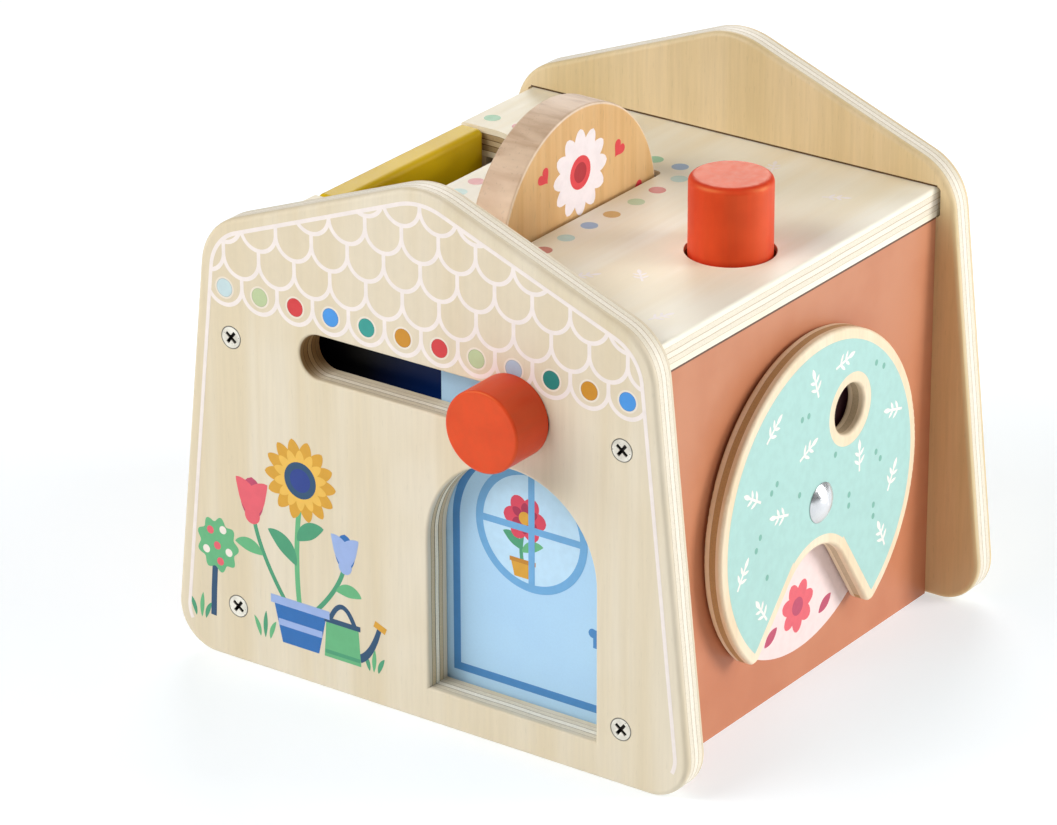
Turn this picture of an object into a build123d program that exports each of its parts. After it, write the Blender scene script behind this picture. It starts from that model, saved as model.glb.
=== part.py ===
"""Wooden hide-and-seek house: a sliding front door, a turning disc on the right wall, a picture wheel and a
sprung peg in the roof, and a flap door in the left wall.

Millimetres. +Z is up, the front gable faces -Y and the origin is the middle of the base's underside.
"""
import math
import os

from build123d import *

# Boards
ply = 9.0
thin_ply = 4.0
inner_width = 124.0
inner_depth = 142.0
roof_top = 128.5
edge_round = 1.5
cut_edge_round = 0.8
joint_clearance = 0.1
over_cut = 1.0
same_place = 0.01

# Gable outline, before its corners are rounded: how far it stands out past the walls and over the roof
foot_overhang = 19.0
shoulder_overhang = 4.8
shoulder_over_roof = 4.3
peak_over_roof = 33.3
foot_radius = 13.0
shoulder_radius = 18.0
peak_radius = 24.0

# Grooves in the gables that hold the roof board
roof_groove_depth = 3.0
roof_groove_end_room = 1.3
roof_groove_corner = 1.2

# Sliding door, its knob and the slot that the knob runs in
door_end_gap = 0.3
door_face_gap = 0.4
door_edge_gap = 0.3
opening_width = 57.0
opening_lip = 1.8
opening_right_lap = 3.6
opening_left_lap = 1.4
slot_over_opening = 10.0
slot_height = 13.4
slot_below_roof = 17.3
slot_end_room = 5.6
slot_side_gap = 0.7
panel_above_slot = 3.0
knob_diameter = 24.0
knob_length = 14.5
knob_face_gap = 0.3
knob_rim_round = 0.8
backing_groove_depth = 2.5

# Screws that hold the gables to the walls
screw_head_diameter = 6.8
screw_head_height = 2.4
screw_diameter = 3.5
screw_length = 28.0
screw_low_height = 17.3
screw_below_roof = 18.6
recess_width = 1.0
recess_length = 4.2
recess_depth = 1.4
recess_turn = 38.0
small_screw_diameter = 3.0
small_screw_head_diameter = 5.6
small_screw_head_height = 1.7

# Picture wheel, on an axle let into the roof's underside
wheel_diameter = 76.0
wheel_thickness = 12.0
wheel_x = -7.2
wheel_y = -3.0
wheel_end_gap = 1.0
wheel_side_gap = 1.9
wheel_edge_round = 0.8
axle_diameter = 5.0
axle_bearing_length = 16.0
running_clearance = 0.06
cleat_height = 6.0
cleat_width = 24.0
cleat_setback = 2.0
cleat_screw_spacing = 15.0
cleat_screw_length = 11.0
spacer_diameter = 10.0
spacer_gap = 0.2
wheel_slot_corner = 2.5

# Turning disc on the right wall
disc_diameter = 100.8
disc_thickness = 6.0
disc_y = 2.0
disc_below_middle = 2.25
disc_wall_gap = 0.8
disc_slack = 0.2
disc_edge_round = 1.0
finger_hole_diameter = 15.0
finger_hole_offset = 27.5
finger_hole_angle = 58.6
wedge_apex_depth = 2.6
wedge_angle = 76.0
wedge_direction = -94.0
wedge_apex_radius = 17.4
wedge_tip_radius = 3.0
pivot_diameter = 6.0
pivot_cap_diameter = 12.0
pivot_cap_height = 2.2
pivot_screw_head_diameter = 11.0
pivot_screw_head_height = 2.0
pivot_screw_head_round = 1.0
pivot_screw_diameter = 3.5
pivot_screw_end_gap = 1.0
pivot_thread_depth = 9.0
spacer_washer_diameter = 16.0
inner_washer_diameter = 13.0
inner_washer_thickness = 0.8

# Push peg, its cup under the roof and its spring
peg_diameter = 24.0
peg_standing_height = 22.5
peg_top_round = 2.0
peg_hole_gap = 1.1
peg_y = -2.0
peg_travel = 18.0
peg_pin_diameter = 4.0
peg_pin_depth = 10.0
peg_below_pin = 6.0
cup_bore_clearance = 0.1
cup_wall = 0.8
cup_side_gap = 0.1
cup_floor = 2.0
cup_slot_clearance = 0.2
cup_ear_length = 11.0
cup_ear_width = 12.0
cup_ear_corner = 4.0
cup_ear_thickness = 2.5
cup_screw_length = 8.0
spring_pressed_length = 8.0
spring_diameter = 19.0
spring_wire = 1.0
spring_turns = 6
spring_seat_gap = 0.3

# Flap door in the left wall and the scoop behind it in the roof
flap_length = 70.0
flap_end_gap = 0.5
flap_face_gap = 0.2
flap_sill_height = 36.0
flap_sill_gap = 0.5
flap_edge_round = 2.0
flap_pin_diameter = 3.0
flap_pin_cover = 3.2
flap_pin_reach = 12.0
scoop_depth = 17.7
scoop_corner_radius = 15.0
picture_board_lap = 6.0
picture_board_below_roof = 13.5

# Places worked out from the sizes above
wall_inner_x = inner_width / 2
wall_outer_x = wall_inner_x + ply
gable_inner_y = inner_depth / 2
gable_outer_y = gable_inner_y + ply
roof_underside = roof_top - ply
base_top = ply
foot_width = 2 * (wall_outer_x + foot_overhang)
shoulder_width = 2 * (wall_outer_x + shoulder_overhang)
shoulder_height = roof_top + shoulder_over_roof
peak_height = roof_top + peak_over_roof
screw_high_height = roof_underside - screw_below_roof

panel_width = opening_width + opening_left_lap + opening_right_lap
panel_front_y = -gable_inner_y + door_face_gap
backing_front_y = panel_front_y + thin_ply + door_face_gap
backing_rear_y = backing_front_y + thin_ply
door_travel = inner_width - panel_width - 2 * door_end_gap
door_x = wall_inner_x - door_end_gap - panel_width / 2
slot_centre_height = roof_underside - slot_below_roof
slot_bottom = slot_centre_height - slot_height / 2
panel_bottom = base_top + door_edge_gap
panel_top = slot_centre_height + slot_height / 2 + panel_above_slot
stem_diameter = slot_height - 2 * slot_side_gap
slot_length = door_travel + stem_diameter + 2 * slot_end_room
opening_right_x = door_x + panel_width / 2 - opening_right_lap
opening_sill = base_top + opening_lip
opening_height = slot_bottom - slot_over_opening - opening_sill

axle_z = roof_underside + axle_diameter / 2
slot_left_x = wheel_x - wheel_thickness / 2 - wheel_side_gap
slot_right_x = wheel_x + wheel_thickness / 2 + wheel_side_gap
axle_left_x = slot_left_x - axle_bearing_length
axle_right_x = slot_right_x + axle_bearing_length

disc_height = roof_underside / 2 - disc_below_middle
disc_inner_x = wall_outer_x + disc_wall_gap
disc_outer_x = disc_inner_x + disc_thickness
cap_base_x = disc_outer_x + disc_slack

peg_pin_z = roof_underside - peg_pin_depth
peg_bottom = peg_pin_z - peg_below_pin
cup_bore_radius = peg_diameter / 2 + cup_bore_clearance
cup_outer_radius = cup_bore_radius + cup_wall
peg_x = wall_inner_x - cup_side_gap - cup_outer_radius
spring_length = peg_travel + spring_pressed_length
cup_floor_top = peg_bottom - spring_length
cup_bottom = cup_floor_top - cup_floor

flap_outer_x = -wall_outer_x + flap_face_gap
flap_inner_x = -wall_inner_x - flap_face_gap
flap_bottom = flap_sill_height + flap_sill_gap
flap_pin_x = flap_outer_x + flap_pin_cover
flap_pin_z = flap_bottom + flap_pin_cover
flap_opening_length = flap_length + 2 * flap_end_gap


def across_y(drawing, front_y, thickness):
    """A board drawn in the front view (X right, Z up), from front_y towards the rear."""
    plane = Plane(origin=(0, front_y, 0), x_dir=(1, 0, 0), z_dir=(0, -1, 0))
    return extrude(plane * drawing, amount=-thickness)


def across_x(drawing, inner_x, thickness):
    """A board drawn in the side view (Y right, Z up), from inner_x towards +X."""
    plane = Plane(origin=(inner_x, 0, 0), x_dir=(0, 1, 0), z_dir=(1, 0, 0))
    return extrude(plane * drawing, amount=thickness)


def block(x_range, y_range, z_range):
    """A plain rectangular block between two corners."""
    size = [high - low for low, high in (x_range, y_range, z_range)]
    middle = [(high + low) / 2 for low, high in (x_range, y_range, z_range)]
    return Pos(*middle) * Box(*size)


def rod(start, direction, radius, length):
    """A round bar from start along direction."""
    plane = Plane(origin=start, z_dir=direction)
    return extrude(plane * Circle(radius), amount=length)


def ring(start, direction, outer_radius, bore_radius, length):
    """A washer or a sleeve from start along direction."""
    return rod(start, direction, outer_radius, length) - rod(start, direction, bore_radius, length)


def small_screw_size(length):
    """Length, shank and head of a small screw."""
    return length, small_screw_diameter, small_screw_head_diameter, small_screw_head_height


def screw(head_centre, direction, length, diameter, head_diameter, head_height):
    """A countersunk wood screw with a cross recess, its head flush at head_centre, driven along direction."""
    profile = Polyline((0, 0), (head_diameter / 2, 0), (diameter / 2, head_height),
                       (diameter / 2, length - diameter), (0, length), close=True)
    body = revolve(Plane.XZ * make_face(profile), axis=Axis.Z)
    for turn in (0, 90):
        bar = Rot(0, 0, recess_turn + turn) * Box(recess_length, recess_width, recess_depth)
        body -= Pos(0, 0, recess_depth / 2) * bar
    return Plane(origin=head_centre, z_dir=direction) * body


def screw_hole(head_centre, direction, length, diameter, head_diameter, head_height):
    """The countersunk hole that such a screw fills, with joint_clearance all round."""
    radius = diameter / 2 + joint_clearance
    head_radius = head_diameter / 2 + joint_clearance
    profile = Polyline((0, -over_cut), (head_radius, -over_cut), (head_radius, 0), (radius, head_height),
                       (radius, length + joint_clearance), (0, length + joint_clearance), close=True)
    return Plane(origin=head_centre, z_dir=direction) * revolve(Plane.XZ * make_face(profile), axis=Axis.Z)


def gable_screw_places(side):
    """Head centres and driving direction of the four screws of the front (-1) or rear (+1) gable."""
    wall_middle_x = wall_inner_x + ply / 2
    return [((x, side * gable_outer_y, z), (0, -side, 0))
            for x in (-wall_middle_x, wall_middle_x) for z in (screw_low_height, screw_high_height)]


gable_screw_size = (screw_length, screw_diameter, screw_head_diameter, screw_head_height)


def gable_screws(side):
    """The four screws of one gable."""
    return [screw(place, direction, *gable_screw_size) for place, direction in gable_screw_places(side)]


def gable(side):
    """House-shaped end board with a groove for the roof board and four countersunk holes."""
    outline = Polyline((-foot_width / 2, 0), (foot_width / 2, 0), (shoulder_width / 2, shoulder_height),
                       (0, peak_height), (-shoulder_width / 2, shoulder_height), close=True)
    drawing = make_face(outline)
    corners = drawing.vertices().sort_by(Axis.Y)
    drawing = fillet(corners[:2], foot_radius)
    shoulders = drawing.vertices().filter_by_position(Axis.Y, shoulder_height - same_place,
                                                      shoulder_height + same_place)
    drawing = fillet(shoulders, shoulder_radius)
    drawing = fillet(drawing.vertices().sort_by(Axis.Y)[-1], peak_radius)
    front_y = -gable_outer_y if side < 0 else gable_inner_y
    board = across_y(drawing, front_y, ply)
    board = fillet(board.edges().filter_by(Axis.Y, reverse=True), edge_round)
    groove_length = 2 * (wall_outer_x + roof_groove_end_room)
    groove_height = ply + 2 * joint_clearance
    groove = Pos(0, roof_top - ply / 2) * RectangleRounded(groove_length, groove_height, roof_groove_corner)
    groove_front_y = -gable_inner_y - roof_groove_depth if side < 0 else gable_inner_y
    board -= across_y(groove, groove_front_y, roof_groove_depth)
    for place, direction in gable_screw_places(side):
        board -= screw_hole(place, direction, *gable_screw_size)
    return board


def ease_cut(board, x_range, z_range):
    """Rounds the outer edges of a cut-out of the front gable, between two corners of the front view."""
    edges = board.edges().filter_by_position(Axis.Y, -gable_outer_y - same_place, -gable_outer_y + same_place)
    for axis, (low, high) in ((Axis.X, x_range), (Axis.Z, z_range)):
        edges = edges.filter_by_position(axis, low - same_place, high + same_place)
    return fillet(edges, cut_edge_round)


def front_gable():
    """Front gable with the arched door opening and the slot for the door's knob."""
    opening_left_x = opening_right_x - opening_width
    opening_x = (opening_left_x + opening_right_x) / 2
    arch_centre = opening_sill + opening_height - opening_width / 2
    sides = Rectangle(opening_width, arch_centre - opening_sill)
    arch = Pos(opening_x, arch_centre) * Circle(opening_width / 2)
    opening = Pos(opening_x, (opening_sill + arch_centre) / 2) * sides + arch
    slot = Pos(0, slot_centre_height) * SlotOverall(slot_length, slot_height)
    board = gable(-1) - across_y(opening, -gable_outer_y, ply) - across_y(slot, -gable_outer_y, ply)
    board = ease_cut(board, (opening_left_x, opening_right_x), (opening_sill, opening_sill + opening_height))
    return ease_cut(board, (-slot_length / 2, slot_length / 2), (slot_bottom, slot_bottom + slot_height))


def rear_gable():
    """Plain rear gable."""
    return gable(1)


def wall(side):
    """Side wall between the gables, grooved for the backing board and drilled for the gables' screws."""
    inner_x = wall_inner_x if side > 0 else -wall_outer_x
    drawing = Pos(0, roof_underside / 2) * Rectangle(inner_depth, roof_underside)
    board = across_x(drawing, inner_x, ply)
    groove_x = sorted((side * wall_inner_x, side * (wall_inner_x + backing_groove_depth)))
    board -= block(groove_x, (backing_front_y, backing_rear_y), (base_top, roof_underside))
    for gable_side in (-1, 1):
        for place, direction in gable_screw_places(gable_side):
            if place[0] * side > 0:
                board -= screw_hole(place, direction, *gable_screw_size)
    return board


def right_wall():
    """Right wall with the hole for the disc's pivot."""
    hole = rod((wall_inner_x, disc_y, disc_height), (1, 0, 0), pivot_diameter / 2 + joint_clearance, ply)
    return wall(1) - hole


def flap_pin_holes(radius, overlap):
    """Bars on the flap's hinge line, from each gable to overlap past the flap's ends."""
    start = gable_inner_y
    length = gable_inner_y - flap_length / 2 + overlap
    return [rod((flap_pin_x, side * start, flap_pin_z), (0, -side, 0), radius, length) for side in (-1, 1)]


def left_wall():
    """Left wall with the opening that the flap closes, open to the roof, and its hinge holes."""
    board = wall(-1)
    board -= block((-wall_outer_x, -wall_inner_x), (-flap_opening_length / 2, flap_opening_length / 2),
                   (flap_sill_height, roof_underside))
    for hole in flap_pin_holes(flap_pin_diameter / 2, 0):
        board -= hole
    return board


def base_board():
    """Floor between the walls and the gables, which the door also slides on."""
    return block((-wall_inner_x, wall_inner_x), (-gable_inner_y, gable_inner_y), (0, base_top))


def roof_board():
    """Flat roof let into the gables, with the wheel's slot, the peg's hole and the scoop behind the flap."""
    reach_y = gable_inner_y + roof_groove_depth - joint_clearance
    board = block((-wall_outer_x, wall_outer_x), (-reach_y, reach_y), (roof_underside, roof_top))
    slot_half_length = wheel_diameter / 2 + wheel_end_gap
    slot = Pos(wheel_x, wheel_y) * RectangleRounded(slot_right_x - slot_left_x, 2 * slot_half_length,
                                                    wheel_slot_corner)
    scoop_width = ply + scoop_depth
    scoop = Pos(-wall_outer_x, 0) * RectangleRounded(2 * scoop_width, flap_opening_length, scoop_corner_radius)
    peg_hole = Pos(peg_x, peg_y) * Circle(peg_diameter / 2 + peg_hole_gap)
    for cut in (slot, scoop, peg_hole):
        board -= extrude(Pos(0, 0, roof_underside) * cut, amount=ply)
    groove_radius = axle_diameter / 2 + joint_clearance
    groove_start = (axle_left_x - joint_clearance, wheel_y, axle_z)
    groove_length = axle_right_x - axle_left_x + 2 * joint_clearance
    board -= rod(groove_start, (1, 0, 0), groove_radius, groove_length)
    board -= block((groove_start[0], groove_start[0] + groove_length),
                   (wheel_y - groove_radius, wheel_y + groove_radius), (roof_underside, axle_z))
    for place in cleat_screw_places():
        board -= screw_hole(place, (0, 0, 1), *small_screw_size(cleat_screw_length))
    for place in cup_screw_places():
        board -= screw_hole(place, (0, 0, 1), *small_screw_size(cup_screw_length))
    top_edges = board.edges().filter_by(Axis.Y).filter_by_position(Axis.Z, roof_top - same_place,
                                                                   roof_top + same_place)
    outer_edges = [edge for edge in top_edges if abs(abs(edge.center().X) - wall_outer_x) < same_place]
    return fillet(outer_edges, cut_edge_round)


def backing_board():
    """Board behind the door, let into the walls."""
    half_width = wall_inner_x + backing_groove_depth - joint_clearance
    return block((-half_width, half_width), (backing_front_y, backing_rear_y), (base_top, roof_underside))


def door_rail():
    """Strip over the door, between the front gable and the backing board."""
    return block((-wall_inner_x, wall_inner_x), (-gable_inner_y, backing_front_y),
                 (panel_top + door_edge_gap, roof_underside))


def door_panel():
    """Sliding door, with a hole for the screw of its knob."""
    panel = block((door_x - panel_width / 2, door_x + panel_width / 2),
                  (panel_front_y, panel_front_y + thin_ply), (panel_bottom, panel_top))
    return panel - screw_hole(*knob_screw_place(), *small_screw_size(thin_ply + knob_length))


def knob_screw_place():
    """Head centre and driving direction of the knob's screw."""
    return (door_x, panel_front_y + thin_ply, slot_centre_height), (0, -1, 0)


def knob_screw():
    """Screw through the door into the knob."""
    return screw(*knob_screw_place(), *small_screw_size(thin_ply + knob_length))


def door_knob():
    """Turned knob with a stem that runs in the slot and seats on the door."""
    head_rear = -gable_outer_y - knob_face_gap
    head = rod((door_x, head_rear, slot_centre_height), (0, -1, 0), knob_diameter / 2, knob_length)
    head = fillet(head.edges().sort_by(Axis.Y)[0], knob_rim_round)
    stem_length = panel_front_y - head_rear
    stem = rod((door_x, panel_front_y, slot_centre_height), (0, -1, 0), stem_diameter / 2, stem_length)
    return head + stem - screw_hole(*knob_screw_place(), *small_screw_size(thin_ply + knob_length))


def picture_wheel():
    """Solid wheel, half above the roof, that turns on the axle."""
    start = (wheel_x - wheel_thickness / 2, wheel_y, axle_z)
    wheel = rod(start, (1, 0, 0), wheel_diameter / 2, wheel_thickness)
    wheel = fillet(wheel.edges().filter_by(GeomType.CIRCLE), wheel_edge_round)
    return wheel - rod(start, (1, 0, 0), axle_diameter / 2 + running_clearance, wheel_thickness)


def wheel_axle():
    """Steel rod in the groove of the roof's underside."""
    return rod((axle_left_x, wheel_y, axle_z), (1, 0, 0), axle_diameter / 2, axle_right_x - axle_left_x)


def wheel_spacers():
    """A ring on each side of the wheel that keeps it in the middle of the slot."""
    thickness = wheel_side_gap - spacer_gap
    bore = axle_diameter / 2 + joint_clearance
    return [ring((slot_left_x, wheel_y, axle_z), (1, 0, 0), spacer_diameter / 2, bore, thickness),
            ring((slot_right_x - thickness, wheel_y, axle_z), (1, 0, 0), spacer_diameter / 2, bore, thickness)]


def cleat_x_ranges():
    """Where the two cleats lie along the axle."""
    return [(axle_left_x, slot_left_x - cleat_setback), (slot_right_x + cleat_setback, axle_right_x)]


def cleat_screw_places():
    """Head centres of the cleats' screws, two for each cleat."""
    return [((low + high) / 2, wheel_y + side * cleat_screw_spacing / 2, roof_underside - cleat_height)
            for low, high in cleat_x_ranges() for side in (-1, 1)]


def axle_cleats():
    """Wood strips under the roof that hold the axle in its groove."""
    cleats = []
    for x_range in cleat_x_ranges():
        cleat = block(x_range, (wheel_y - cleat_width / 2, wheel_y + cleat_width / 2),
                      (roof_underside - cleat_height, roof_underside))
        for place in cleat_screw_places():
            if x_range[0] < place[0] < x_range[1]:
                cleat -= screw_hole(place, (0, 0, 1), *small_screw_size(cleat_screw_length))
        cleats.append(cleat)
    return cleats


def cleat_screws():
    """Screws of the cleats."""
    return [screw(place, (0, 0, 1), *small_screw_size(cleat_screw_length)) for place in cleat_screw_places()]


def turning_disc():
    """Flat disc with a finger hole and a wedge cut out, like a painter's palette."""
    apex = Vector(0, -wedge_apex_depth)
    half = wedge_angle / 2
    side = Vector(disc_diameter, 0)
    left, right = [apex + side.rotate(Axis.Z, wedge_direction + turn) for turn in (-half, half)]
    drawing = Circle(disc_diameter / 2) - make_face(Polyline(apex, left, right, close=True))
    inner = drawing.vertices().sort_by_distance(apex)[0]
    drawing = fillet(inner, wedge_apex_radius)
    lower_corners = [corner for corner in drawing.vertices() if corner.Y < -wedge_apex_depth]
    tips = [corner for corner in lower_corners if abs(Vector(corner).length - disc_diameter / 2) < same_place]
    drawing = fillet(tips, wedge_tip_radius)
    drawing -= Rot(0, 0, finger_hole_angle) * Pos(finger_hole_offset, 0) * Circle(finger_hole_diameter / 2)
    disc = across_x(Pos(disc_y, disc_height) * drawing, disc_inner_x, disc_thickness)
    disc = fillet(disc.edges().filter_by(Axis.X, reverse=True), disc_edge_round)
    bore_radius = pivot_diameter / 2 + running_clearance
    return disc - rod((disc_inner_x, disc_y, disc_height), (1, 0, 0), bore_radius, disc_thickness)


def disc_pivot():
    """Sleeve nut with a domed cap, which the disc turns on."""
    length = cap_base_x - wall_inner_x
    cap_radius = pivot_cap_diameter / 2
    dome_radius = (cap_radius ** 2 + pivot_cap_height ** 2) / (2 * pivot_cap_height)
    half_turn = math.asin(cap_radius / dome_radius) / 2
    dome_middle = (dome_radius * math.sin(half_turn),
                   length + pivot_cap_height - dome_radius + dome_radius * math.cos(half_turn))
    thread_radius = pivot_screw_diameter / 2 + joint_clearance
    section = Polyline((cap_radius, length), (pivot_diameter / 2, length), (pivot_diameter / 2, 0),
                       (thread_radius, 0), (thread_radius, pivot_thread_depth), (0, pivot_thread_depth),
                       (0, length + pivot_cap_height))
    section += ThreePointArc((cap_radius, length), dome_middle, (0, length + pivot_cap_height))
    pivot = revolve(Plane.XZ * make_face(section), axis=Axis.Z)
    return Plane(origin=(wall_inner_x, disc_y, disc_height), z_dir=(1, 0, 0)) * pivot


def disc_spacer():
    """Washer between the wall and the disc."""
    thickness = disc_wall_gap - disc_slack
    return ring((wall_outer_x, disc_y, disc_height), (1, 0, 0), spacer_washer_diameter / 2,
                pivot_diameter / 2 + joint_clearance, thickness)


def pivot_washer():
    """Washer on the inside of the right wall."""
    return ring((wall_inner_x - inner_washer_thickness, disc_y, disc_height), (1, 0, 0),
                inner_washer_diameter / 2, pivot_screw_diameter / 2 + joint_clearance, inner_washer_thickness)


def pivot_screw():
    """Pan-head screw that closes the sleeve nut from inside the house."""
    head_x = wall_inner_x - inner_washer_thickness
    centre = (head_x, disc_y, disc_height)
    head = rod(centre, (-1, 0, 0), pivot_screw_head_diameter / 2, pivot_screw_head_height)
    head = fillet(head.edges().sort_by(Axis.X)[0], pivot_screw_head_round)
    shank_length = inner_washer_thickness + pivot_thread_depth - pivot_screw_end_gap
    shank = rod(centre, (1, 0, 0), pivot_screw_diameter / 2, shank_length)
    body = head + shank
    for turn in (0, 90):
        recess = Rot(turn, 0, 0) * Box(recess_depth, recess_length, recess_width)
        body -= Pos(head_x - pivot_screw_head_height + recess_depth / 2, disc_y, disc_height) * recess
    return body


def push_peg():
    """Dowel that stands out of the roof and is pushed down against its spring."""
    top = roof_top + peg_standing_height
    peg = rod((peg_x, peg_y, peg_bottom), (0, 0, 1), peg_diameter / 2, top - peg_bottom)
    peg = fillet(peg.edges().sort_by(Axis.Z)[-1], peg_top_round)
    pin_hole_start = (peg_x, peg_y - peg_diameter / 2, peg_pin_z)
    return peg - rod(pin_hole_start, (0, 1, 0), peg_pin_diameter / 2, peg_diameter)


def peg_pin():
    """Cross pin that stops the peg at the top of the cup's slots."""
    start = (peg_x, peg_y - cup_outer_radius, peg_pin_z)
    return rod(start, (0, 1, 0), peg_pin_diameter / 2, 2 * cup_outer_radius)


def cup_screw_places():
    """Head centres of the two screws through the cup's ears."""
    offset = cup_outer_radius + cup_ear_length / 2
    return [(peg_x, peg_y + side * offset, roof_underside - cup_ear_thickness) for side in (-1, 1)]


def peg_cup():
    """Moulded cup under the roof that guides the peg and holds its spring."""
    tube = rod((peg_x, peg_y, cup_bottom), (0, 0, 1), cup_outer_radius, roof_underside - cup_bottom)
    ear_span = 2 * (cup_outer_radius + cup_ear_length)
    ears = Pos(peg_x, peg_y) * RectangleRounded(cup_ear_width, ear_span, cup_ear_corner)
    cup = tube + extrude(Pos(0, 0, roof_underside - cup_ear_thickness) * ears, amount=cup_ear_thickness)
    cup -= rod((peg_x, peg_y, cup_floor_top), (0, 0, 1), cup_bore_radius, roof_underside - cup_floor_top)
    slot_width = peg_pin_diameter + 2 * cup_slot_clearance
    slot = SlotOverall(peg_travel + slot_width, slot_width, rotation=90)
    slot_middle_height = peg_pin_z - peg_travel / 2
    cup -= across_y(Pos(peg_x, slot_middle_height) * slot, peg_y - cup_outer_radius, 2 * cup_outer_radius)
    for place in cup_screw_places():
        cup -= screw_hole(place, (0, 0, 1), *small_screw_size(cup_screw_length))
    return cup


def cup_screws():
    """Screws that hang the cup from the roof."""
    return [screw(place, (0, 0, 1), *small_screw_size(cup_screw_length)) for place in cup_screw_places()]


def peg_spring():
    """Compression spring between the cup's floor and the peg."""
    radius = (spring_diameter - spring_wire) / 2
    height = spring_length - 2 * spring_seat_gap - spring_wire
    pitch = height / spring_turns
    path = Helix(pitch, height, radius)
    section = Plane(origin=path @ 0, z_dir=path % 0) * Circle(spring_wire / 2)
    print(f"spring: least gap between turns {pitch - spring_wire:.2f} mm")
    first_turn_height = cup_floor_top + spring_seat_gap + spring_wire / 2
    return Pos(peg_x, peg_y, first_turn_height) * sweep(section, path, is_frenet=True)


def flap_door():
    """Flap that closes the left wall, hinged near its lower edge, with its top flush with the roof."""
    flap = block((flap_outer_x, flap_inner_x), (-flap_length / 2, flap_length / 2), (flap_bottom, roof_top))
    heel = flap.edges().filter_by(Axis.Y).sort_by(Axis.Z)[:2]
    flap = fillet(heel, flap_pin_cover)
    end_outlines = [edge for edge in flap.edges() if abs(abs(edge.center().Y) - flap_length / 2) < same_place]
    top_edges = flap.edges().filter_by(Axis.Y).sort_by(Axis.Z)[-2:]
    flap = fillet(end_outlines + list(top_edges), flap_edge_round)
    for hole in flap_pin_holes(flap_pin_diameter / 2 + running_clearance, flap_pin_reach):
        flap -= hole
    return flap


def flap_pins():
    """Two steel pins in the wall that the flap hinges on."""
    return flap_pin_holes(flap_pin_diameter / 2, flap_pin_reach - flap_end_gap)


def picture_board():
    """Board behind the flap, on the inside of the left wall, which the flap closes against."""
    half_length = flap_opening_length / 2 + picture_board_lap
    return block((-wall_inner_x, -wall_inner_x + thin_ply), (-half_length, half_length),
                 (flap_sill_height - picture_board_lap, roof_underside - picture_board_below_roof))


nodes = {
    "front_gable": front_gable, "rear_gable": rear_gable, "left_wall": left_wall, "right_wall": right_wall,
    "base_board": base_board, "roof_board": roof_board, "backing_board": backing_board, "door_rail": door_rail,
    "front_screws": lambda: gable_screws(-1), "rear_screws": lambda: gable_screws(1),
    "door_panel": door_panel, "door_knob": door_knob, "knob_screw": knob_screw,
    "picture_wheel": picture_wheel, "wheel_axle": wheel_axle, "wheel_spacers": wheel_spacers,
    "axle_cleats": axle_cleats, "cleat_screws": cleat_screws,
    "turning_disc": turning_disc, "disc_pivot": disc_pivot, "disc_spacer": disc_spacer,
    "pivot_washer": pivot_washer, "pivot_screw": pivot_screw,
    "push_peg": push_peg, "peg_pin": peg_pin, "peg_cup": peg_cup, "cup_screws": cup_screws,
    "peg_spring": peg_spring,
    "flap_door": flap_door, "flap_pins": flap_pins, "picture_board": picture_board,
}

os.makedirs("parts", exist_ok=True)
for name, make in nodes.items():
    piece = make()
    if isinstance(piece, list):
        piece = Compound(children=piece)
    piece.label = name
    export_step(piece, f"parts/{name}.step")
print(f"door travel {door_travel:.1f} mm, wheel axle height {axle_z:.1f} mm, peg at x {peg_x:.1f} mm")
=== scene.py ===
import math

import bpy
import numpy as np
from mathutils import Matrix, Vector


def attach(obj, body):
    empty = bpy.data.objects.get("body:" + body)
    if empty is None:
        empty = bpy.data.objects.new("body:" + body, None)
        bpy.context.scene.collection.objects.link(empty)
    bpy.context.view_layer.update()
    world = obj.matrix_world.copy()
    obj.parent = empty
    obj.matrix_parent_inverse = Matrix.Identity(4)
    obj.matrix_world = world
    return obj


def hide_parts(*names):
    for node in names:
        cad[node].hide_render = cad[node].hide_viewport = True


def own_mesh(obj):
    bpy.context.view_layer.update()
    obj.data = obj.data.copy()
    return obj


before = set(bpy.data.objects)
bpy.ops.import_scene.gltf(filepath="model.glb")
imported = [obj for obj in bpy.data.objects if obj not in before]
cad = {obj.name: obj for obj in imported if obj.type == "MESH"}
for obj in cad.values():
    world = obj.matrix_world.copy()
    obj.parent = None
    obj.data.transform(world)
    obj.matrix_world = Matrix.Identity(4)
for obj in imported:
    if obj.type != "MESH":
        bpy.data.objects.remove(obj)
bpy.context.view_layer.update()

mm = 0.001
X, Y, Z = 0, 1, 2

# The table and the studio light
# The house stands on a plain white table. Two soft lamps light its front from the left, one behind its right
# side lights the wall and the disc at a slant, and one high at the right the roof. A weak one lights the
# corner between the front and the wall, and the last one the back.
CAMERA_PLACE = Vector((0.8092, -1.1572, 0.6938))
CAMERA_AIM = Vector((0.0, -0.0300, 0.0768))
CAMERA_ROLL = 0.0035
CAMERA_LENS = 183.43
LAMP_AIM = Vector((0, 0, 0.07))
ROOM_LIGHT = 0.03
TABLE_SIZE, TABLE_DROP, TABLE_GLOW = 9.0, 0.0001, 0.5


def colour(red, green, blue, alpha=1.0):
    """A colour given in 0 to 255 as a screen shows it, as the linear values that shaders use."""
    screen = np.array([red, green, blue]) / 255
    linear = np.where(screen <= 0.04045, screen / 12.92, ((screen + 0.055) / 1.055) ** 2.4)
    return (*linear.tolist(), alpha)


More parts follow.
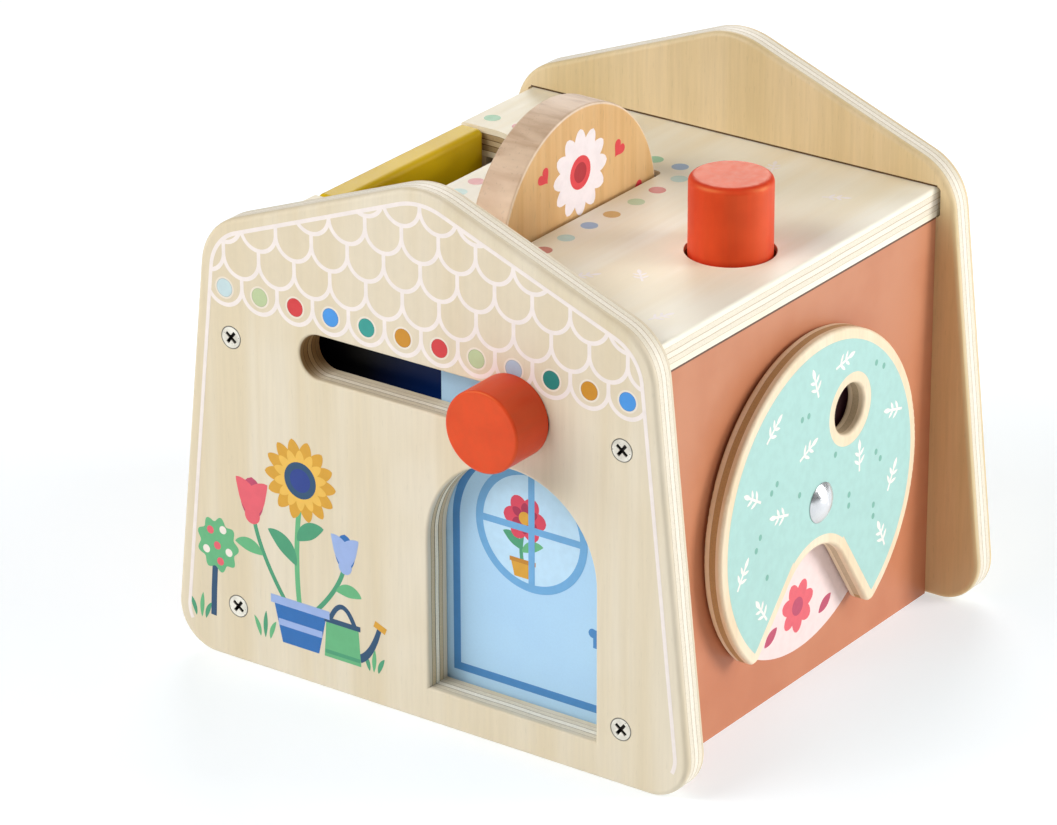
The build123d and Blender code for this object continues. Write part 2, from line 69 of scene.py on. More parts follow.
def start_finish(name, roughness=0.5, specular=0.5, metallic=0.0):
    """A new material with its plain values set on the shader, and the function that adds nodes to it."""
    material = bpy.data.materials.new(name)
    material.use_nodes = True
    tree = material.node_tree
    shader = tree.nodes["Principled BSDF"]
    plain = {"Roughness": roughness, "Specular IOR Level": specular, "Metallic": metallic}
    for socket, value in plain.items():
        shader.inputs[socket].default_value = value

    def add(kind, sockets=(), out=0, **settings):
        """Adds a node, sets it, fills its inputs with values or links, and gives back one output."""
        node = shader if kind == "shader" else tree.nodes.new(kind)
        for key, value in settings.items():
            setattr(node, key, value)
        for socket, value in dict(sockets).items():
            if isinstance(value, bpy.types.NodeSocket):
                tree.links.new(value, node.inputs[socket])
            else:
                node.inputs[socket].default_value = value
        return node.outputs[out]

    return material, add


def noise(add, where, scale, detail=2.0, roughness=0.5, distortion=0.0):
    """Cloudy noise, scale features to the metre."""
    sockets = {"Vector": where, "Scale": scale, "Detail": detail, "Roughness": roughness,
               "Distortion": distortion}
    return add("ShaderNodeTexNoise", sockets)


def spread(add, value, low, high, to_low=0.0, to_high=1.0):
    """Carries values from low..high smoothly over to to_low..to_high, and holds them outside."""
    sockets = {"Value": value, "From Min": low, "From Max": high, "To Min": to_low, "To Max": to_high}
    return add("ShaderNodeMapRange", sockets, interpolation_type="SMOOTHSTEP")


def blend_colours(add, share, first, second, how="MIX"):
    """The first colour where share is 0, the second (mixed in how it says) where share is 1."""
    return add("ShaderNodeMix", {0: share, 6: first, 7: second}, out=2, data_type="RGBA", blend_type=how)


def clouded(add, where, scale, tone, deep, detail=2.0):
    """A tone with soft clouds of a deeper one."""
    return blend_colours(add, spread(add, noise(add, where, scale, detail), 0.35, 0.68), tone, deep)


def modulated(add, tone, pattern, low, high, at_low, at_high):
    """A colour times at_low where the pattern is at low, and times at_high where it is at high."""
    return blend_colours(add, 1.0, tone, spread(add, pattern, low, high, at_low, at_high), "MULTIPLY")


def math_node(add, operation, first, second=0.0):
    """The outcome of an operation on two values, named as the node names it."""
    return add("ShaderNodeMath", {0: first, 1: second}, operation=operation)


def vector_node(add, operation, first, second=(0, 0, 0), out=0):
    """The outcome of an operation on two vectors, named as the node names it."""
    return add("ShaderNodeVectorMath", {0: first, 1: second}, out=out, operation=operation)


def times(add, first, *others):
    """The product of two or more values."""
    for value in others:
        first = math_node(add, "MULTIPLY", first, value)
    return first


def object_place(add):
    """The place on the object, in metres."""
    return add("ShaderNodeTexCoord", out="Object")


def parts_of(add, where=None):
    """The three parts of a vector, or of the place on the object if none is given."""
    return add("ShaderNodeSeparateXYZ", {0: object_place(add) if where is None else where}).node.outputs


def stretched(add, where, scale=(1, 1, 1), shift=(0, 0, 0)):
    """The place with each direction scaled, so that a pattern runs long along the small scale."""
    return add("ShaderNodeMapping", {"Vector": where, "Scale": scale, "Location": shift})


def lengthwise(along, share):
    """The scale that draws a pattern out along one axis."""
    return [share if axis == along else 1.0 for axis in (X, Y, Z)]


def aimed(place, target, roll=0.0):
    """The turn of a camera or lamp that looks from place to target, with its top up."""
    back = (place - target).normalized()
    right = Vector((0, 0, 1)).cross(back).normalized()
    up = back.cross(right)
    right, up = (right * math.cos(roll) - up * math.sin(roll), right * math.sin(roll) + up * math.cos(roll))
    turn = Matrix((right, up, back)).transposed().to_4x4()
    return Matrix.Translation(place) @ turn


def put(name, data, turn=Matrix()):
    """A new object of the data in the scene, placed and turned by a matrix."""
    thing = bpy.data.objects.new(name, data)
    thing.matrix_world = turn
    bpy.context.scene.collection.objects.link(thing)
    return thing


def build_object(name, points, faces, material):
    """A new object of points in metres and their faces, in one material."""
    mesh = bpy.data.meshes.new(name)
    mesh.from_pydata(points, [], faces)
    mesh.materials.append(material)
    return put(name, mesh)


camera_data = bpy.data.cameras.new("camera")
camera_data.sensor_fit = "HORIZONTAL"
camera_data.sensor_width = 36.0
camera_data.lens = CAMERA_LENS
camera_data.clip_start = 0.01
camera_data.clip_end = 50.0
bpy.context.scene.camera = put("camera", camera_data, aimed(CAMERA_PLACE, CAMERA_AIM, CAMERA_ROLL))
bpy.context.scene.view_settings.view_transform = "Standard"

lamps = {
    # name: place, side, watts
    "left_lamp": ((-1.22, -1.10, 1.02), 1.0, 16.0),
    "front_lamp": ((-0.48, -1.33, 1.34), 0.8, 14.5),
    "right_lamp": ((1.53, 1.04, 0.50), 0.7, 23.0),
    "high_lamp": ((1.37, 0.50, 1.29), 0.8, 8.0),
    "weak_lamp": ((1.16, -1.16, 1.02), 1.2, 3.2),
    "back_lamp": ((-0.86, 1.49, 0.87), 1.0, 12.5),
}
for lamp_name, (place, side, watts) in lamps.items():
    lamp_data = bpy.data.lights.new(lamp_name, "AREA")
    lamp_data.shape = "RECTANGLE"
    lamp_data.size, lamp_data.size_y, lamp_data.energy = side, side, watts
    put(lamp_name, lamp_data, aimed(Vector(place), LAMP_AIM))

room = bpy.data.worlds.new("white_room")
room.use_nodes = True
room.node_tree.nodes["Background"].inputs["Color"].default_value = (1.0, 1.0, 1.0, 1.0)
room.node_tree.nodes["Background"].inputs["Strength"].default_value = ROOM_LIGHT
bpy.context.scene.world = room

table_white, table_add = start_finish("table_white", roughness=0.6, specular=0.3)
table_clouds = noise(table_add, object_place(table_add), 6.0, detail=3.0)
table_tone = blend_colours(table_add, table_clouds, colour(198, 199, 201), colour(203, 204, 206))
table_add("shader", {"Emission Color": (0.94, 1, 1.03, 1), "Emission Strength": TABLE_GLOW,
                     "Base Color": table_tone})
half = TABLE_SIZE / 2
table_corners = [(x * half, y * half, -TABLE_DROP) for x, y in ((-1, -1), (1, -1), (1, 1), (-1, 1))]
table = build_object("table", table_corners, [(0, 1, 2, 3)], table_white)

# The two gable boards
# Birch plywood, 9 mm thick and five plies, routed to shape and sanded smooth, with a clear satin
# varnish. The grain of the face veneer stands upright, and the cut edges show the plies as stripes.
BIRCH, HONEY = (colour(225, 213, 190), colour(218, 202, 171)), (colour(227, 204, 162), colour(216, 192, 145))
# A sheet of veneer: the axis of its grain, its two tones, its place in the noise, how plain the grain shows.
FRONT_SHEET, REAR_SHEET = (Z, *BIRCH, 3.1, 0.6), (Z, *HONEY, 7.4)
PLY_GLUE, ROUTED_GLUE = colour(190, 168, 132), colour(118, 90, 54)
GLUE_LINE, ROUTED_LINE = 0.011, 0.015


def five_plies(long, cross):
    """The tones of five plies, whose grain runs along and across by turns."""
    return long, cross, long, cross, long


PLY_TONES = five_plies(colour(242, 233, 217), colour(233, 223, 203))
ROUTED_TONES = five_plies(colour(254, 243, 218), colour(216, 194, 154))


def extent(node, axis):
    """The low and the high end of a CAD node along an axis, in mm, to a tenth."""
    ends = [corner[axis] / mm for corner in cad[node].bound_box]
    return round(min(ends), 1), round(max(ends), 1)


def veneer(add, along, pale, deep, seed, grain=1.0):
    """Colour and relief of sliced birch: broad warm bands, soft blotches, fine fibres and short dark pores.
    along is the axis that the grain follows, and grain says how plain its fibres and pores show."""
    where = object_place(add)
    streaks = stretched(add, where, lengthwise(along, 0.05), (seed, seed * 0.7, seed * 1.3))
    bands = noise(add, streaks, 62.0, detail=3.0, roughness=0.55, distortion=0.35)
    fibres = noise(add, streaks, 820.0, detail=4.0, roughness=0.6)
    pores = noise(add, stretched(add, where, lengthwise(along, 0.11), (seed, 0, 0)), 2100.0, detail=1.0)
    blotches = noise(add, stretched(add, where, shift=(seed, seed, seed)), 26.0)
    tone = blend_colours(add, spread(add, bands, 0.36, 0.66), pale, deep)
    tone = blend_colours(add, spread(add, blotches, 0.42, 0.78, 0.0, 0.55), tone, deep)
    tone = modulated(add, tone, fibres, 0.3, 0.7, 1 - 0.045 * grain, 1 + 0.03 * grain)
    tone = modulated(add, tone, pores, 0.64, 0.76, 1.0, 1 - 0.1 * grain)
    return tone, math_node(add, "SUBTRACT", fibres, spread(add, pores, 0.64, 0.76))


def varnish(add, tone, relief, low=0.42, high=0.56, strength=0.16):
    """Puts a colour, its relief and a satin sheen that follows the relief on the shader."""
    bump = add("ShaderNodeBump", {"Height": relief, "Strength": strength, "Distance": 0.0001})
    add("shader", {"Base Color": tone, "Normal": bump, "Roughness": spread(add, relief, 0.2, 0.8, low, high)})


def inside(add, low, high):
    """1 inside the box between two corners given in mm, and 0 outside it."""
    low, high = np.array(low) * mm, np.array(high) * mm
    away = vector_node(add, "SUBTRACT", object_place(add), (low + high) / 2)
    away = vector_node(add, "ABSOLUTE", vector_node(add, "DIVIDE", away, (high - low) / 2))
    sides = parts_of(add, away)
    most = math_node(add, "MAXIMUM", math_node(add, "MAXIMUM", sides[X], sides[Y]), sides[Z])
    return math_node(add, "LESS_THAN", most, 1.0)


def ply_ramp(add, depth, tones, glue, line):
    """A stripe for each ply along the depth 0 to 1, with a line of glue between two."""
    stops = []
    for number, tone in enumerate(tones):
        stops.append((number / len(tones) + (line if number else 0), tone))
        if number < len(tones) - 1:
            stops.append(((number + 1) / len(tones) - line, glue))
    stripes = add("ShaderNodeValToRGB", {"Fac": depth})
    ramp = stripes.node.color_ramp
    ramp.interpolation = "CONSTANT"
    while len(ramp.elements) < len(stops):
        ramp.elements.new(0.5)
    for element, (place_in_ramp, tone) in zip(ramp.elements, stops):
        element.position, element.color = place_in_ramp, tone
    return stripes


def ply_stripes(add, across, ends, tones, glue, seed, routed=None):
    """Colour of the cut edge of plywood, a stripe for each ply between the board's ends across, and the share
    that is 1 in the two face plies and 0 between them. routed is about the edges that a router cut: their
    share, tones and glue, and the depth past which a painted shadow of the gap darkens the deepest ply."""
    where = object_place(add)
    low, high = ends
    waver = noise(add, stretched(add, where, shift=(seed, seed, 0)), 90.0, detail=1.0)
    sockets = {"Value": parts_of(add, where)[across], "From Min": low * mm, "From Max": high * mm}
    depth = add("ShaderNodeMapRange", sockets)
    depth = math_node(add, "ADD", depth, times(add, math_node(add, "SUBTRACT", waver, 0.5), 0.04))
    stripes = ply_ramp(add, depth, tones, glue, GLUE_LINE)
    if routed:
        share, routed_tones, routed_glue, gap_shade_from = routed
        cut = ply_ramp(add, depth, routed_tones, routed_glue, ROUTED_LINE)
        # Past that depth the deepest ply takes the glue tone: a painted shadow of the gap behind the cut.
        cut = blend_colours(add, math_node(add, "GREATER_THAN", depth, gap_shade_from), cut, routed_glue)
        stripes = blend_colours(add, share(add), stripes, cut)
    specks = noise(add, where, 1900.0, roughness=0.7)
    stripes = modulated(add, stripes, specks, 0.3, 0.75, 1.05, 0.9)
    from_middle = math_node(add, "ABSOLUTE", math_node(add, "SUBTRACT", depth, 0.5))
    face_start = 0.5 - 1 / len(tones)
    return stripes, spread(add, from_middle, face_start - 0.004, face_start + 0.004)


def dress(node, material):
    """Gives a CAD node its finish."""
    for slot in cad[node].material_slots:
        slot.material = material


def plywood(name, node, across, along, pale, deep, seed, grain=1.0, ends=None, routed=None, shades=(),
            tones=PLY_TONES, glue=PLY_GLUE):
    """Dresses a board in varnished plywood. across is the axis through its plies, over the node's own ends
    unless others are given. shades are painted shade: a function that gives their share, and the tone."""
    material, add = start_finish(name, specular=0.4)
    tone, relief = veneer(add, along, pale, deep, seed, grain)
    stripes, face_share = ply_stripes(add, across, ends or extent(node, across), tones, glue, seed, routed)
    tone = blend_colours(add, face_share, stripes, tone)
    for share, shade in shades:
        tone = blend_colours(add, share(add), tone, shade, "MULTIPLY")
    varnish(add, tone, relief)
    dress(node, material)


GABLE_FRONT, GABLE_BACK = extent("front_gable", Y)
REAR_INSIDE = extent("rear_gable", Y)[0]
ROOF_LOW, ROOF_TOP = extent("roof_board", Z)
WALL_OUTSIDE = extent("right_wall", X)[1]
OPENINGS_SIDE, OPENINGS_LOW, OPENINGS_HIGH = 66.0, 8.0, 111.0
# The slot's left end, its floor and top, and how far the painted shade at its end reaches.
SLOT_LEFT, SLOT_LOW, SLOT_HIGH, SLOT_SHADE_REACH = -42.3, 94.0, 110.0, 8.0
# The gables' half width at the table, before their feet are rounded.
FOOT_SIDE = 90.0
# From this depth through a cut the deepest ply is painted with the gap's shadow; 2 means nowhere.
GAP_SHADE_FROM, NO_GAP_SHADE = 0.965, 2.0
DIM_BELOW, DIM_ABOVE = 104.0, 130.0
# Tones of painted shade: at the slot's left end, in the gap over the roof, and on the rear gable below the
# roof.
SLOT_END_SHADE, JOINT_SHADE, DIM_SHADE = colour(178, 152, 118), colour(104, 84, 62), colour(246, 226, 208)


def facing(add, axis):
    """How far the surface's normal points along an axis."""
    return parts_of(add, add("ShaderNodeNewGeometry", out="Normal"))[axis]


def cut_with_painted_shade(add):
    """The share of routed tones and their painted shade in the front gable's openings: less on faces that
    point up, a painted light on the slot's floor.
    """
    openings = inside(add, (-OPENINGS_SIDE, GABLE_FRONT - 1, OPENINGS_LOW),
                      (OPENINGS_SIDE, GABLE_BACK + 1, OPENINGS_HIGH))
    return times(add, openings, spread(add, facing(add, Z), 0.2, 0.9, 1.0, 0.3))


def slot_end(add):
    """The share of painted shade at the slot's left end, which lies in shadow: none on the board's face."""
    on_face = math_node(add, "ABSOLUTE", facing(add, Y))
    near = spread(add, parts_of(add)[X], (SLOT_LEFT + 1) * mm, (SLOT_LEFT + SLOT_SHADE_REACH) * mm, 1.0, 0.0)
    end = inside(add, (SLOT_LEFT - 1, GABLE_FRONT - 1, SLOT_LOW),
                 (SLOT_LEFT + SLOT_SHADE_REACH + 1, GABLE_BACK + 1, SLOT_HIGH))
    return times(add, spread(add, on_face, 0.2, 0.8, 1.0, 0.0), near, end)


def roof_joint_shadow(add):
    """The share of a painted shadow in the joint's gap over the roof, on the rear gable's inner face."""
    return inside(add, (-WALL_OUTSIDE - 0.2, REAR_INSIDE - 0.5, ROOF_TOP - 0.1),
                  (WALL_OUTSIDE + 0.2, REAR_INSIDE + 0.2, ROOF_TOP + 0.6))


def under_roof(add):
    """The share of a deeper tone on the rear gable's inner face, where less daylight comes below the roof."""
    face = inside(add, (-FOOT_SIDE, REAR_INSIDE - 0.5, -1.0), (FOOT_SIDE, REAR_INSIDE + 0.6, ROOF_TOP + 2.5))
    return times(add, spread(add, parts_of(add)[Z], DIM_BELOW * mm, DIM_ABOVE * mm, 1.0, 0.0), face)


plywood("birch_front", "front_gable", Y, *FRONT_SHEET, shades=[(slot_end, SLOT_END_SHADE)],
        routed=(cut_with_painted_shade, ROUTED_TONES, ROUTED_GLUE, GAP_SHADE_FROM))
plywood("birch_rear", "rear_gable", Y, *REAR_SHEET,
        shades=[(roof_joint_shadow, JOINT_SHADE), (under_roof, DIM_SHADE)])

# The gables' screws
# Countersunk wood screws with a cross recess, 4 mm, bright zinc on steel, driven from outside
# into the edges of the walls. The recess and a thin ring at the rim are darkened: painted shade.
SCREW_SHADE = colour(38, 34, 30)
SCREW_SIDE, SCREW_LOW, SCREW_HIGH = 66.5, 17.3, 100.9
SCREW_SUNK, SCREW_FACE = 79.45, 79.75
RIM_START, RIM_END, RIM_SHARE = 3.02, 3.3, 0.85


def screw_shade(add, where):
    """The share of painted shade on the gables' screws: full deeper than the face, and a thin ring at the
    rim.
    """
    sides = parts_of(add, where)
    sunk = spread(add, math_node(add, "ABSOLUTE", sides[Y]), SCREW_SUNK * mm, SCREW_FACE * mm, 1.0, 0.0)
    aside = math_node(add, "SUBTRACT", math_node(add, "ABSOLUTE", sides[X]), SCREW_SIDE * mm)
    above = math_node(add, "SUBTRACT", sides[Z], (SCREW_LOW + SCREW_HIGH) / 2 * mm)
    above = math_node(add, "SUBTRACT", math_node(add, "ABSOLUTE", above), (SCREW_HIGH - SCREW_LOW) / 2 * mm)
    squares = math_node(add, "ADD", times(add, aside, aside), times(add, above, above))
    rim = spread(add, math_node(add, "SQRT", squares), RIM_START * mm, RIM_END * mm, 0.0, RIM_SHARE)
    return math_node(add, "MAXIMUM", sunk, rim)


def metal(name, tone, dark, low, high, streak=(1, 1, 1), grains=900.0, shade_share=None, metallic=1.0):
    """Metal with fine tool marks, a faint cloud in its tone, any painted shade, and roughness from low to
    high.
    """
    material, add = start_finish(name, metallic=metallic)
    where = object_place(add)
    marks = noise(add, stretched(add, where, streak), grains, detail=3.0, roughness=0.6)
    shade = blend_colours(add, spread(add, noise(add, where, 160.0), 0.35, 0.7), tone, dark)
    if shade_share:
        shade = blend_colours(add, shade_share(add, where), shade, SCREW_SHADE)
    bump = add("ShaderNodeBump", {"Height": marks, "Strength": 0.12, "Distance": 0.00005})
    add("shader", {"Base Color": shade, "Roughness": spread(add, marks, 0.3, 0.7, low, high), "Normal": bump})
    return material


shaded_zinc = metal("shaded_zinc", colour(238, 233, 220), colour(206, 200, 186), 0.26, 0.42,
                     shade_share=screw_shade, metallic=0.7)
bright_zinc = metal("bright_zinc", colour(226, 224, 220), colour(188, 186, 184), 0.2, 0.34)
for screws in ("front_screws", "rear_screws"):
    dress(screws, shaded_zinc)
for screws in ("cleat_screws", "cup_screws", "knob_screw", "pivot_screw"):
    dress(screws, bright_zinc)

# The side walls
# Plywood, 9 mm, with a satin terracotta paint rolled on the outer face. The inner face is bare.
TERRACOTTA, TERRACOTTA_DEEP = colour(200, 133, 97), colour(194, 124, 87)
# The paint darkens and warms towards the ground, and the joint under the roof is dark: both painted shade.
UNDER_ROOF, GROUND_SHADE, SEAM_SHADE = colour(255, 255, 255), colour(254, 242, 234), colour(96, 62, 40)
SHADE_FULL_BELOW, SHADE_GONE_ABOVE = 20.0, 115.0
# The fineness of a roller's stipple.
STIPPLE = 1500.0


def rolled_paint(add, tone, deep, seed):
    """Colour and relief of satin paint: a faint cloud in its tone, and the fine stipple of a roller."""
    where = stretched(add, object_place(add), shift=(seed, 0, seed))
    stipple = noise(add, where, STIPPLE, roughness=0.6)
    shade = clouded(add, where, 45.0, tone, deep, detail=3.0)
    return modulated(add, shade, stipple, 0.3, 0.7, 0.985, 1.012), stipple


def painted_wall(name, node, side):
    """Plywood upright across X, painted on its outer face only. side is 1 on the right and -1 on the left."""
    material, add = start_finish(name, specular=0.45)
    paint, stipple = rolled_paint(add, TERRACOTTA, TERRACOTTA_DEEP, side * 2.0)
    stripes, face_share = ply_stripes(add, X, extent(node, X), PLY_TONES, PLY_GLUE, 5.0 + side)
    bare, _ = veneer(add, Z, *BIRCH, 9.0 + side)
    bare = blend_colours(add, face_share, stripes, bare)
    place = parts_of(add)
    # Painted shade that deepens towards the ground, and a painted shadow in the joint under the roof.
    height = spread(add, place[Z], SHADE_FULL_BELOW * mm, SHADE_GONE_ABOVE * mm)
    low_shade = blend_colours(add, height, GROUND_SHADE, UNDER_ROOF)
    paint = blend_colours(add, 1.0, paint, low_shade, "MULTIPLY")
    joint = inside(add, (-WALL_OUTSIDE - 0.2, GABLE_BACK, ROOF_LOW - 0.6),
                   (WALL_OUTSIDE + 0.2, REAR_INSIDE, ROOF_LOW + 0.1))
    paint = blend_colours(add, joint, paint, SEAM_SHADE)
    outward = times(add, place[X], float(side))
    painted = spread(add, outward, (WALL_OUTSIDE - 0.3) * mm, (WALL_OUTSIDE - 0.1) * mm)
    varnish(add, blend_colours(add, painted, bare, paint), stipple, 0.36, 0.47, 0.1)
    dress(node, material)


painted_wall("terracotta_right", "right_wall", 1)
painted_wall("terracotta_left", "left_wall", -1)

# Base board, door rail and axle cleats
# Plain birch plywood and strips cut from it that nobody sees when the toy is shut, varnished only once.
for name, node, across, along, seed, ends in (
        ("base_ply", "base_board", Z, Y, 11.0, None), ("rail_ply", "door_rail", Y, X, 12.0, (-71.0, -62.0)),
        ("cleat_ply", "axle_cleats", X, Y, 13.0, (-40.0, 40.0))):
    plywood(name, node, across, along, *HONEY, seed, ends=ends)

# The roof board
# Birch plywood, 9 mm, with the wheel's slot, the peg's hole and the scoop for a fingertip behind the
# flap routed through it. It lies in a groove of both gables, its grain from gable to gable.
ROOF_SHEET = Y, colour(247, 241, 223), colour(241, 229, 201), 21.0, 0.25
# The cut faces in the roof are painted darker than its other edges: painted shade in the slot, hole and
# scoop.
ROOF_CUT_SHADED_TONES = five_plies(colour(208, 186, 148), colour(180, 155, 116))
ROOF_CUT_SIDES, ROOF_CUT_REACH = (-71.5, 58.0), 68.0


def roof_cut(add):
    """The share of the roof's routed openings, whose darker tones are painted shade: all edges but those at
    the gables and the right wall.
    """
    return inside(add, (ROOF_CUT_SIDES[0], -ROOF_CUT_REACH, ROOF_LOW - 0.5),
                  (ROOF_CUT_SIDES[1], ROOF_CUT_REACH, ROOF_TOP + 0.5))


plywood("birch_roof", "roof_board", Z, *ROOF_SHEET,
        routed=(roof_cut, ROOF_CUT_SHADED_TONES, ROUTED_GLUE, NO_GAP_SHADE))

# Prints on the front gable
# Screen printed inks, some hundredths of a millimetre thick: a white border line, and rows of roof scales
# with a coloured dot in each scale of the lowest row.
INK = 0.03
STEP = 0.004
SUNK = 0.06
LEAF_STATIONS, THINNEST = 20, 0.04


def ways(angles):
    """The directions at angles in the plane of a print, in a last axis of two."""
    return np.stack([np.cos(angles), np.sin(angles)], -1)


def bow(start, control, end, count=24):
    """Points along a bow from start to end that leans towards control: a quadratic Bezier curve,
    (1-t)^2 start + 2t(1-t) control + t^2 end."""
    t = np.linspace(0, 1, count)[:, None]
    start, control, end = (np.asarray(p, float) for p in (start, control, end))
    return (1 - t) ** 2 * start + 2 * t * (1 - t) * control + t ** 2 * end


def stroke(path, width, tone, lift=0, closed=False):
    """A printed line. Its two edges are the path moved half the width to each side, along the path's normals.
    The width is one number, or one for each point of the path."""
    path = np.asarray(path, float)
    run = (np.roll(path, -1, 0) - np.roll(path, 1, 0)) if closed else np.gradient(path, axis=0)
    run /= np.linalg.norm(run, axis=1)[:, None]
    side = np.stack([-run[:, 1], run[:, 0]], 1) * (np.broadcast_to(width, len(path)) / 2)[:, None]
    return strip(path + side, path - side, tone, lift, closed)


def bar(start, end, width, tone, lift=0):
    """A straight printed line. The width is one number, or one each for its start, middle and end."""
    return stroke(np.linspace(start, end, 3), width, tone, lift)


def strip(left, right, tone, lift=0, closed=False):
    """A printed area between two edges: a thin rectangle (left low, right low, right high, left high) is
    carried along both, from station to station, and capped at its ends or joined into a ring."""
    count = len(left)
    low, high = np.full((count, 1), -SUNK), np.full((count, 1), INK + lift * STEP)
    corners = np.stack([np.hstack([left, low]), np.hstack([right, low]), np.hstack([right, high]),
                        np.hstack([left, high])], 1).reshape(-1, 3)
    station, k = np.meshgrid(np.arange(count if closed else count - 1), np.arange(4), indexing="ij")
    here, after, turn = 4 * station, 4 * ((station + 1) % count), (k + 1) % 4
    faces = np.stack([here + k, after + k, after + turn, here + turn], -1).reshape(-1, 4)
    if not closed:
        last = 4 * (count - 1)
        faces = np.vstack([faces, [[0, 1, 2, 3], [last + 3, last + 2, last + 1, last]]])
    return corners, faces, tone


def patch(outline, tone, lift=0, centre=None):
    """A printed area round a centre, from which its whole outline is seen: the grid's rows are the low pole,
    the low outline, the high outline and the high pole, and its columns go round the outline."""
    outline = np.asarray(outline, float)
    centre = outline.mean(0) if centre is None else np.asarray(centre, float)
    count = len(outline)
    low, high = np.full((count, 1), -SUNK), np.full((count, 1), INK + lift * STEP)
    poles = [[*centre, low[0, 0]], [*centre, high[0, 0]]]
    points = np.vstack([np.hstack([outline, low]), np.hstack([outline, high]), poles])
    here = np.arange(count)
    after = (here + 1) % count
    sides = np.stack([here, after, count + after, count + here], 1)
    under = np.stack([np.full(count, 2 * count), after, here, here], 1)
    over = np.stack([count + here, count + after, np.full(count, 2 * count + 1), count + here], 1)
    return points, np.vstack([sides, under, over]), tone


def dot(u, v, radius, tone, lift=0, flat=1.0, count=36):
    """A printed round spot, flat times as high as it is wide."""
    turn = np.linspace(0, 2 * np.pi, count, endpoint=False)
    return patch((u, v) + radius * ways(turn) * (1, flat), tone, lift)


def leaf(start, end, width, tone, lift=0, lean=0.0, fullness=0.75):
    """A printed leaf or petal. Its width follows sin(pi t)^fullness, and lean bows it sideways."""
    start, end = np.asarray(start, float), np.asarray(end, float)
    run = end - start
    control = (start + end) / 2 + np.array([-run[1], run[0]]) * lean
    t = np.linspace(0, 1, LEAF_STATIONS)
    profile = np.maximum(width * np.sin(np.pi * t) ** fullness, THINNEST)
    return stroke(bow(start, control, end, LEAF_STATIONS), profile, tone, lift)


def lay_print(name, body, face, shapes, material):
    """Makes one mesh of the printed areas of a board's face, given by node, axis and the way it looks along
    it. On it u runs to the right and v up. Each area keeps its ink's colour in the attribute paint, with the
    ink's cover as its alpha."""
    node, axis, way = face
    square, up = np.eye(3)[axis], np.eye(3)[Y if axis == Z else Z]
    axes = np.array([np.cross(up, way * square), up, way * square])
    origin = square * extent(node, axis)[way > 0]
    points, faces, tones, start = [], [], [], 0
    for shape_points, shape_faces, tone in shapes:
        points.append((shape_points @ axes + origin) * mm)
        faces.append(shape_faces + start)
        tones.append(np.tile(tone, (len(shape_points), 1)))
        start += len(shape_points)
    # A pole's triangle is written with its first corner again as the fourth, which is dropped here.
    faces = [row[:3] if row[3] in row[:3] else row for row in np.vstack(faces).tolist()]
    piece = build_object(name, np.vstack(points).tolist(), faces, material)
    paint = piece.data.color_attributes.new("paint", "FLOAT_COLOR", "POINT")
    paint.data.foreach_set("color", np.vstack(tones).ravel().tolist())
    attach(piece, body)


def ink(name, ground, specular=0.42):
    """Screen ink of the attribute paint, whose cover is the alpha. ground is a function that gives the tone
    under it and the relief, which shows in the ink too."""
    material, add = start_finish(name, specular=specular)
    tone, relief = ground(add)
    paint = add("ShaderNodeAttribute", attribute_name="paint", out="Color")
    cover = paint.node.outputs["Alpha"]
    paint = modulated(add, paint, noise(add, object_place(add), 380.0, detail=3.0), 0.3, 0.7, 0.965, 1.02)
    varnish(add, blend_colours(add, cover, tone, paint), relief, 0.38, 0.5, 0.14)
    return material


def ink_on_wood(name, *sheet):
    """Screen ink on the same sheet of veneer as the board under it."""
    return ink(name, lambda add: veneer(add, *sheet))


# The gable's corners before they are rounded, and the radius at each.
EAVES_SIDE, EAVES_HEIGHT, PEAK_HEIGHT = 75.8, 132.8, 161.8
GABLE_CORNERS = np.array([(-FOOT_SIDE, 0), (-EAVES_SIDE, EAVES_HEIGHT), (0, PEAK_HEIGHT),
                          (EAVES_SIDE, EAVES_HEIGHT), (FOOT_SIDE, 0)])
GABLE_RADII = 13, 18, 24, 18, 13
WHITE_LINE, SCALE_SHADE = colour(240, 229, 225, 0.86), colour(216, 200, 172, 0.4)
BORDER_INSET, BORDER_WIDTH, BORDER_LOW = 3.5, 1.2, 8.7
SCALE_PITCH, SCALE_LINE = 12.42, 1.25
SCALE_ROWS = (110.6, 119.8, 129.5, 139.1, 148.7)
SCALE_ROUND, TOP_ROW_RISE = SCALE_PITCH / 2, 9.6
GROUND_SIDE, GROUND_LOW = 73.6, 95
DOT_HEIGHT, HALO_RADIUS, EDGE_RADIUS, DOT_RADIUS = 115.6, 3.3, 2.75, 2.58


def gable_line(inset):
    """The gable's outline, inset mm inside its edge, from the left foot over the peak to the right foot: at
    each corner an arc about the same centre as the edge's own, with a radius less by the inset."""
    arcs = []
    for number, (corner, radius) in enumerate(zip(GABLE_CORNERS, GABLE_RADII)):
        before, after = GABLE_CORNERS[number - 1] - corner, GABLE_CORNERS[(number + 1) % 5] - corner
        before, after = before / np.linalg.norm(before), after / np.linalg.norm(after)
        half_angle = math.acos(before @ after) / 2
        middle = (before + after) / np.linalg.norm(before + after)
        centre = corner + middle * radius / math.sin(half_angle)
        reach = radius / math.tan(half_angle)
        first, last = corner + before * reach - centre, corner + after * reach - centre
        from_angle = math.atan2(first[1], first[0])
        sweep = (math.atan2(last[1], last[0]) - from_angle + math.pi) % (2 * math.pi) - math.pi
        arcs.append(centre + (radius - inset) * ways(from_angle + sweep * np.linspace(0, 1, 24)))
    return np.vstack(arcs)


def within(points, outline):
    """True for the points inside a rounded outline that goes round clockwise and has no hollows."""
    edge = np.roll(outline, -1, 0) - outline
    to_point = points[:, None, :] - outline[None, :, :]
    return (edge[None, :, 0] * to_point[:, :, 1] - edge[None, :, 1] * to_point[:, :, 0] <= 1e-9).all(1)


